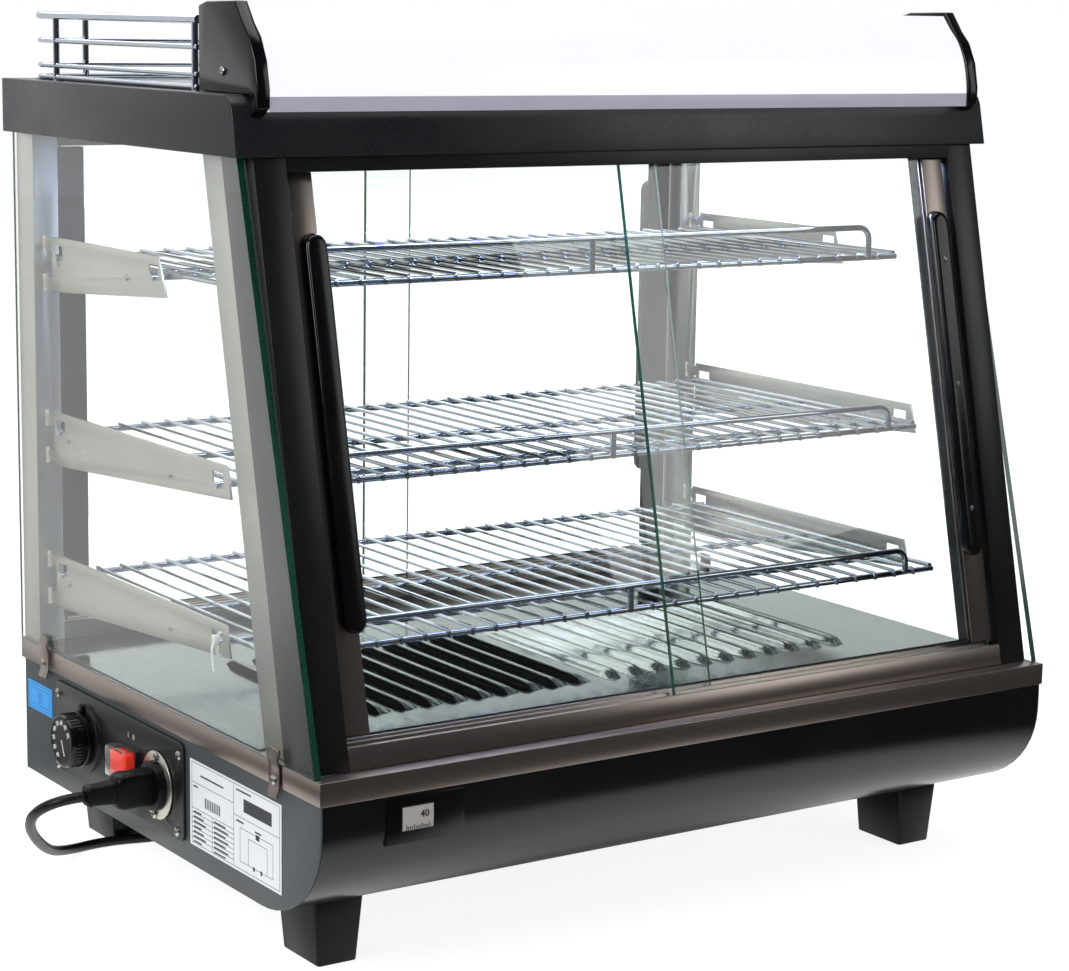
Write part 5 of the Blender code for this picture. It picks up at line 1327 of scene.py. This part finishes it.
@dataclass
class Cabinet:
    """Glass, posts, uprights, tracks, ceiling, lamps and roof."""

    lens_pitch: float = 0.0190

    def glass(self) -> None:
        """The side panes."""
        for _, word in SIDES:
            glazed(f"side_glass_{word}")

    def frame(self) -> None:
        """Posts, uprights and door tracks."""
        for side, word in SIDES:
            node = f"front_post_{word}"
            post = eased(copy_of(node), 0.4)
            painted = max(abs(corner.x) for corner in box_of(node)) - 0.0028
            for face in post.faces:
                if face.normal.x * side > 0.7 and abs(face.calc_center_median().x) < painted:
                    face.material_index = 1
            place(f"{node}_made", post, BODY_OF[node], [POWDER_BLACK, ROLLED_DULL], "black_paint", [node])
            refine(f"rear_upright_{word}", ROLLED_DULL, "bright_steel", 0.3)
        for row in ("front", "rear"):
            refine(f"{row}_track_lower", BRUSHED_X, "stainless", 0.25)
            refine(f"{row}_track_upper", POWDER_BLACK, "black_paint", 0.25)
        low, high = box_of("front_track_lower")
        for row in ("front", "rear"):
            y = box_of(f"{row}_track_lower")[1].y
            strip = block((low.x + 0.002, y - 0.0020, high.z), (high.x - 0.002, y - 0.0006, high.z + 0.0012), 0.3)
            place(f"track_brush_{row}", strip, "cabinet", [RUBBER], "rubber")

    def ceiling(self) -> None:
        """The ceiling sheet and the LED strip with its lenses."""
        dress("ceiling_liner", ROLLED_DULL)
        low, high = box_of("lamp_strip")
        parts = [block(low, high, 0.5)]
        count = int((high.x - low.x - 0.012) / self.lens_pitch)
        y, z = (low.y + high.y) / 2, low.z
        turn = Matrix.Rotation(math.pi / 2, 4, "Y")
        for i in range(count + 1):
            spot = Matrix.Translation(((i - count / 2) * self.lens_pitch, y, z + 0.0002))
            lens = turned([(0.0, 0.0045), (0.0016, 0.0042), (0.0028, 0.0026)], (0.0, 0.0), 10)
            bmesh.ops.transform(lens, matrix=spot @ turn, verts=lens.verts)
            parts.append(coloured(lens, 1))
        size = (high.x - low.x, high.y - low.y)
        soft_box("led_light", Matrix.Translation((0.0, y, z - 0.006)), size, 3.0, "#B9CBFF")
        place("lamp_strip_made", joined(parts), "cabinet", [NYLON_WHITE, LED_LENS], "lamp", ["lamp_strip"])

    def roof(self) -> None:
        """The roof housing with a bright tray sheet on top."""
        refine("roof_housing", POWDER_HAMMERED, "black_paint", 0.8, 40, 40)
        top = box_of("roof_housing")[1].z
        low, high = box_of("guard_rail")
        tray = block((low.x + 0.0045, low.y + 0.004, top), (high.x - 0.0045, high.y - 0.0045, top + 0.0010), 0.4)
        place("roof_tray_sheet", tray, "cabinet", [ROLLED], "bright_steel")

    def build(self) -> None:
        """Makes the whole cabinet."""
        self.glass()
        self.frame()
        self.ceiling()
        self.roof()


@dataclass
class Sign:
    """The lit sign: opal panel, folded housing and glossy end caps."""

    curve: tuple[tuple[float, float], ...] = (
        (-0.0011, -0.0112), (-0.0016, 0.0038), (0.0024, 0.0228), (0.0104, 0.0388), (0.0199, 0.0488), (0.0289, 0.0593),
    )
    thick: float = 0.0025

    def panel(self) -> None:
        """The curved opal panel, with a dimmer strip along its foot: painted shade on the acrylic's lower band."""
        front, top = box_of("roof_housing")[0].y, box_of("roof_housing")[1].z
        low, high = box_of("sign_panel")
        outer = [tuple(p) for p in smoothed([Vector((front + y, top + z)) for y, z in self.curve], 6)]
        inner = [(y + self.thick, z - 0.3 * self.thick) for y, z in outer[1:]]
        outline = outer + inner[::-1] + [(outer[0][0] + self.thick, outer[0][1])]
        bm = slab(outline, "X", low.x, high.x)
        place("sign_panel_made", bm, "cabinet", [OPAL], "acrylic", ["sign_panel"], 40)
        # A strip of the same opal, lit less: painted shade along the panel's foot.
        foot = block((low.x, low.y - 0.0006, top - 0.0112), (high.x, low.y + 0.0006, top - 0.0010), 0.3)
        place("sign_shaded_foot_strip", foot, "cabinet", [OPAL_SHADED_FOOT], "acrylic")

    def caps(self) -> None:
        """The moulded end caps, each with a screw."""
        for side, word in SIDES:
            refine(f"sign_cap_{word}", ABS_GLOSS, "black_plastic", 1.2, 45, 25)
            low, high = box_of(f"sign_cap_{word}")
            spot = (low.x if side < 0 else high.x, low.y + 0.050, low.z + 0.030)
            place_screws(f"sign_cap_screw_{word}", [spot], (side, 0, 0), 0.0032)

    def build(self) -> None:
        """Makes the whole sign."""
        self.panel()
        refine("sign_housing", POWDER_BLACK, "black_paint", 0.4)
        self.caps()


@dataclass
class GuardRail:
    """Round rods and legs about the roof's top."""

    rods: tuple[tuple[float, float], ...] = ((0.0022, 0.0020), (0.0110, 0.0020), (0.0298, 0.0020), (0.0488, 0.0030))
    leg: float = 0.0025
    leg_inset: float = 0.0450
    corner: float = 0.0200

    def build(self) -> None:
        """Makes the rail in one chromed piece."""
        low, high = box_of("guard_rail")
        roof_top = box_of("roof_housing")[1].z + 0.0003
        x, front, back = high.x - 0.0030, low.y, high.y - 0.0030
        parts = []
        for height, radius in self.rods:
            z = roof_top + height
            path = bent([(-x, front, z), (-x, back, z), (x, back, z), (x, front, z)], self.corner, 9)
            parts.append(swept(path, radius, 12))
        foot, top = roof_top - 0.0003, roof_top + self.rods[-1][0]
        for side, _ in SIDES:
            for leg_x, y in ((x, front + 0.0050), (x, back - self.leg_inset), (x - self.leg_inset, back)):
                parts.append(swept([(side * leg_x, y, foot), (side * leg_x, y, top)], self.leg, 12))
        place("guard_rail_made", joined(parts), "cabinet", [CHROME], "chrome", ["guard_rail"], 40)


@dataclass
class Doors:
    """Sliding doors in front and at the back."""

    def build(self) -> None:
        """Makes each door's pane, edge profile and grip; the right front grip shows its screws."""
        for side, word in SIDES:
            body = f"front_door_{word}"
            glazed(f"{body}_glass")
            refine(f"{body}_profile", BRUSHED_Z, "stainless", 0.4)
            refine(f"{body}_handle", ABS_GLOSS, "black_plastic", 2.2, 50, 25)
            if side > 0:
                low, high = box_of(f"{body}_handle")
                x, deep, tall = (low.x + high.x) / 2, high.y - low.y - 0.0092, high.z - low.z
                spots = [(x, low.y + deep * share + 0.0002, low.z + tall * share) for share in (0.14, 0.5, 0.86)]
                place_screws(f"{body}_screws", spots, (0, -1, 0.22), 0.0022, body)
            back = f"rear_door_{word}"
            glazed(f"{back}_glass")
            refine(f"{back}_handle", ABS_BLACK, "black_plastic", 0.6, 45)


@dataclass
class Shelves:
    """Three chromed wire shelves on sheet brackets."""

    wire: float = 0.0015
    rod: float = 0.0025
    pitch: float = 0.0204
    wires: int = 29
    half: float = 0.3080
    rail_half: float = 0.2770
    rail_rises: tuple[float, float, float] = (0.0170, 0.0170, 0.0230)
    fronts: tuple[float, float, float] = (0.1100, 0.1375, 0.1700)
    middles: tuple[float, float, float] = (0.2720, 0.2850, 0.2990)
    tops: tuple[float, float, float] = (0.2255, 0.3405, 0.4785)
    back: float = 0.4355

    def shelf(self, level: int) -> None:
        """One shelf: drawn wires welded on rods, and a raised rail along the front."""
        node = f"shelf_{LEVELS[level]}"
        reach = box_of(node)[1].x
        top, front = self.tops[level], self.fronts[level]
        wire_z, rod_z = top - self.wire, top - 2 * self.wire - self.rod + 0.0012
        parts = []
        for i in range(self.wires):
            x = (i - (self.wires - 1) / 2) * self.pitch
            y = front - 0.0012
            path = bent([(x, self.back + 0.0030, wire_z), (x, y, wire_z), (x, y, wire_z - 0.0050)], 0.0028, 4)
            parts.append(swept(path, self.wire, 8))
        carried = box_of(f"bracket_{LEVELS[level]}_left")[0].y + 0.0205
        rods = ((self.back, reach), (self.middles[level], self.half), (carried, reach), (front + 0.0015, self.half))
        for y, half in rods:
            parts.append(swept([(-half, y, rod_z), (half, y, rod_z)], self.rod, 12))
        for side, _ in SIDES:
            x = side * (self.half - 0.0020)
            parts.append(swept([(x, front + 0.0015, wire_z), (x, self.back, wire_z)], 0.0020, 10))
        high, y, half = top + self.rail_rises[level] - self.rod, front - 0.0005, self.rail_half
        rail = bent([(-half, y, rod_z), (-half, y, high), (half, y, high), (half, y, rod_z)], 0.0110, 8)
        parts.append(swept(rail, self.rod, 12))
        parts.append(swept([(0, y, rod_z), (0, y, high)], self.rod, 12))
        place(f"{node}_made", joined(parts), "cabinet", [CHROME], "chrome", [node], 40)

    def bracket(self, level: int, side: int, word: str) -> None:
        """A bracket with its pressed lip and two rivets."""
        node = f"bracket_{LEVELS[level]}_{word}"
        refine(node, ROLLED_DULL, "bright_steel", 0.25)
        low, high = box_of(node)
        x = low.x if side < 0 else high.x
        spots = [(x, low.y + share * (high.y - low.y), high.z - 0.0200) for share in (0.30, 0.86)]
        place_screws(f"{node}_rivets", spots, (side, 0, 0), 0.0026, recess=ZINC)

    def tie(self) -> None:
        """A white cable tie on the lower left bracket, which holds the sensor's lead."""
        low, high = box_of("bracket_lower_left")
        x, y, z = (low.x + high.x) / 2, low.y + 0.0140, low.z + 0.0330
        left, right, low_z, high_z = x - 0.004, x + 0.005, z - 0.012, z + 0.004
        corners = ((left, z), (left, low_z), (right, low_z), (right, high_z), (left, high_z), (left, z + 0.001))
        ring = bent([(across, y, up) for across, up in corners], 0.0028, 5)
        tail = bent([(left, y, z), (x - 0.010, y - 0.002, z - 0.004), (x - 0.0085, y - 0.004, z - 0.022)], 0.005, 6)
        head = block((x - 0.0075, y - 0.0025, z - 0.0025), (x - 0.0028, y + 0.0025, z + 0.0030), 0.6)
        bm = joined([swept(ring, 0.0011, 8), swept(tail, 0.0010, 8), head])
        place("sensor_tie", bm, "cabinet", [NYLON_WHITE], "black_plastic")

    def build(self) -> None:
        """Makes the shelves, their brackets and the tie."""
        for level in range(len(LEVELS)):
            self.shelf(level)
            for side, word in SIDES:
                self.bracket(level, side, word)
        self.tie()


def main() -> None:
    """Builds the studio and every sub-assembly."""
    logging.basicConfig(level=logging.INFO, format="%(message)s")
    Studio().build()
    PowerCord().build()
    Base().build()
    Controls().build()
    Cabinet().build()
    Sign().build()
    GuardRail().build()
    Doors().build()
    Shelves().build()


if __name__ == "__main__":
    main()
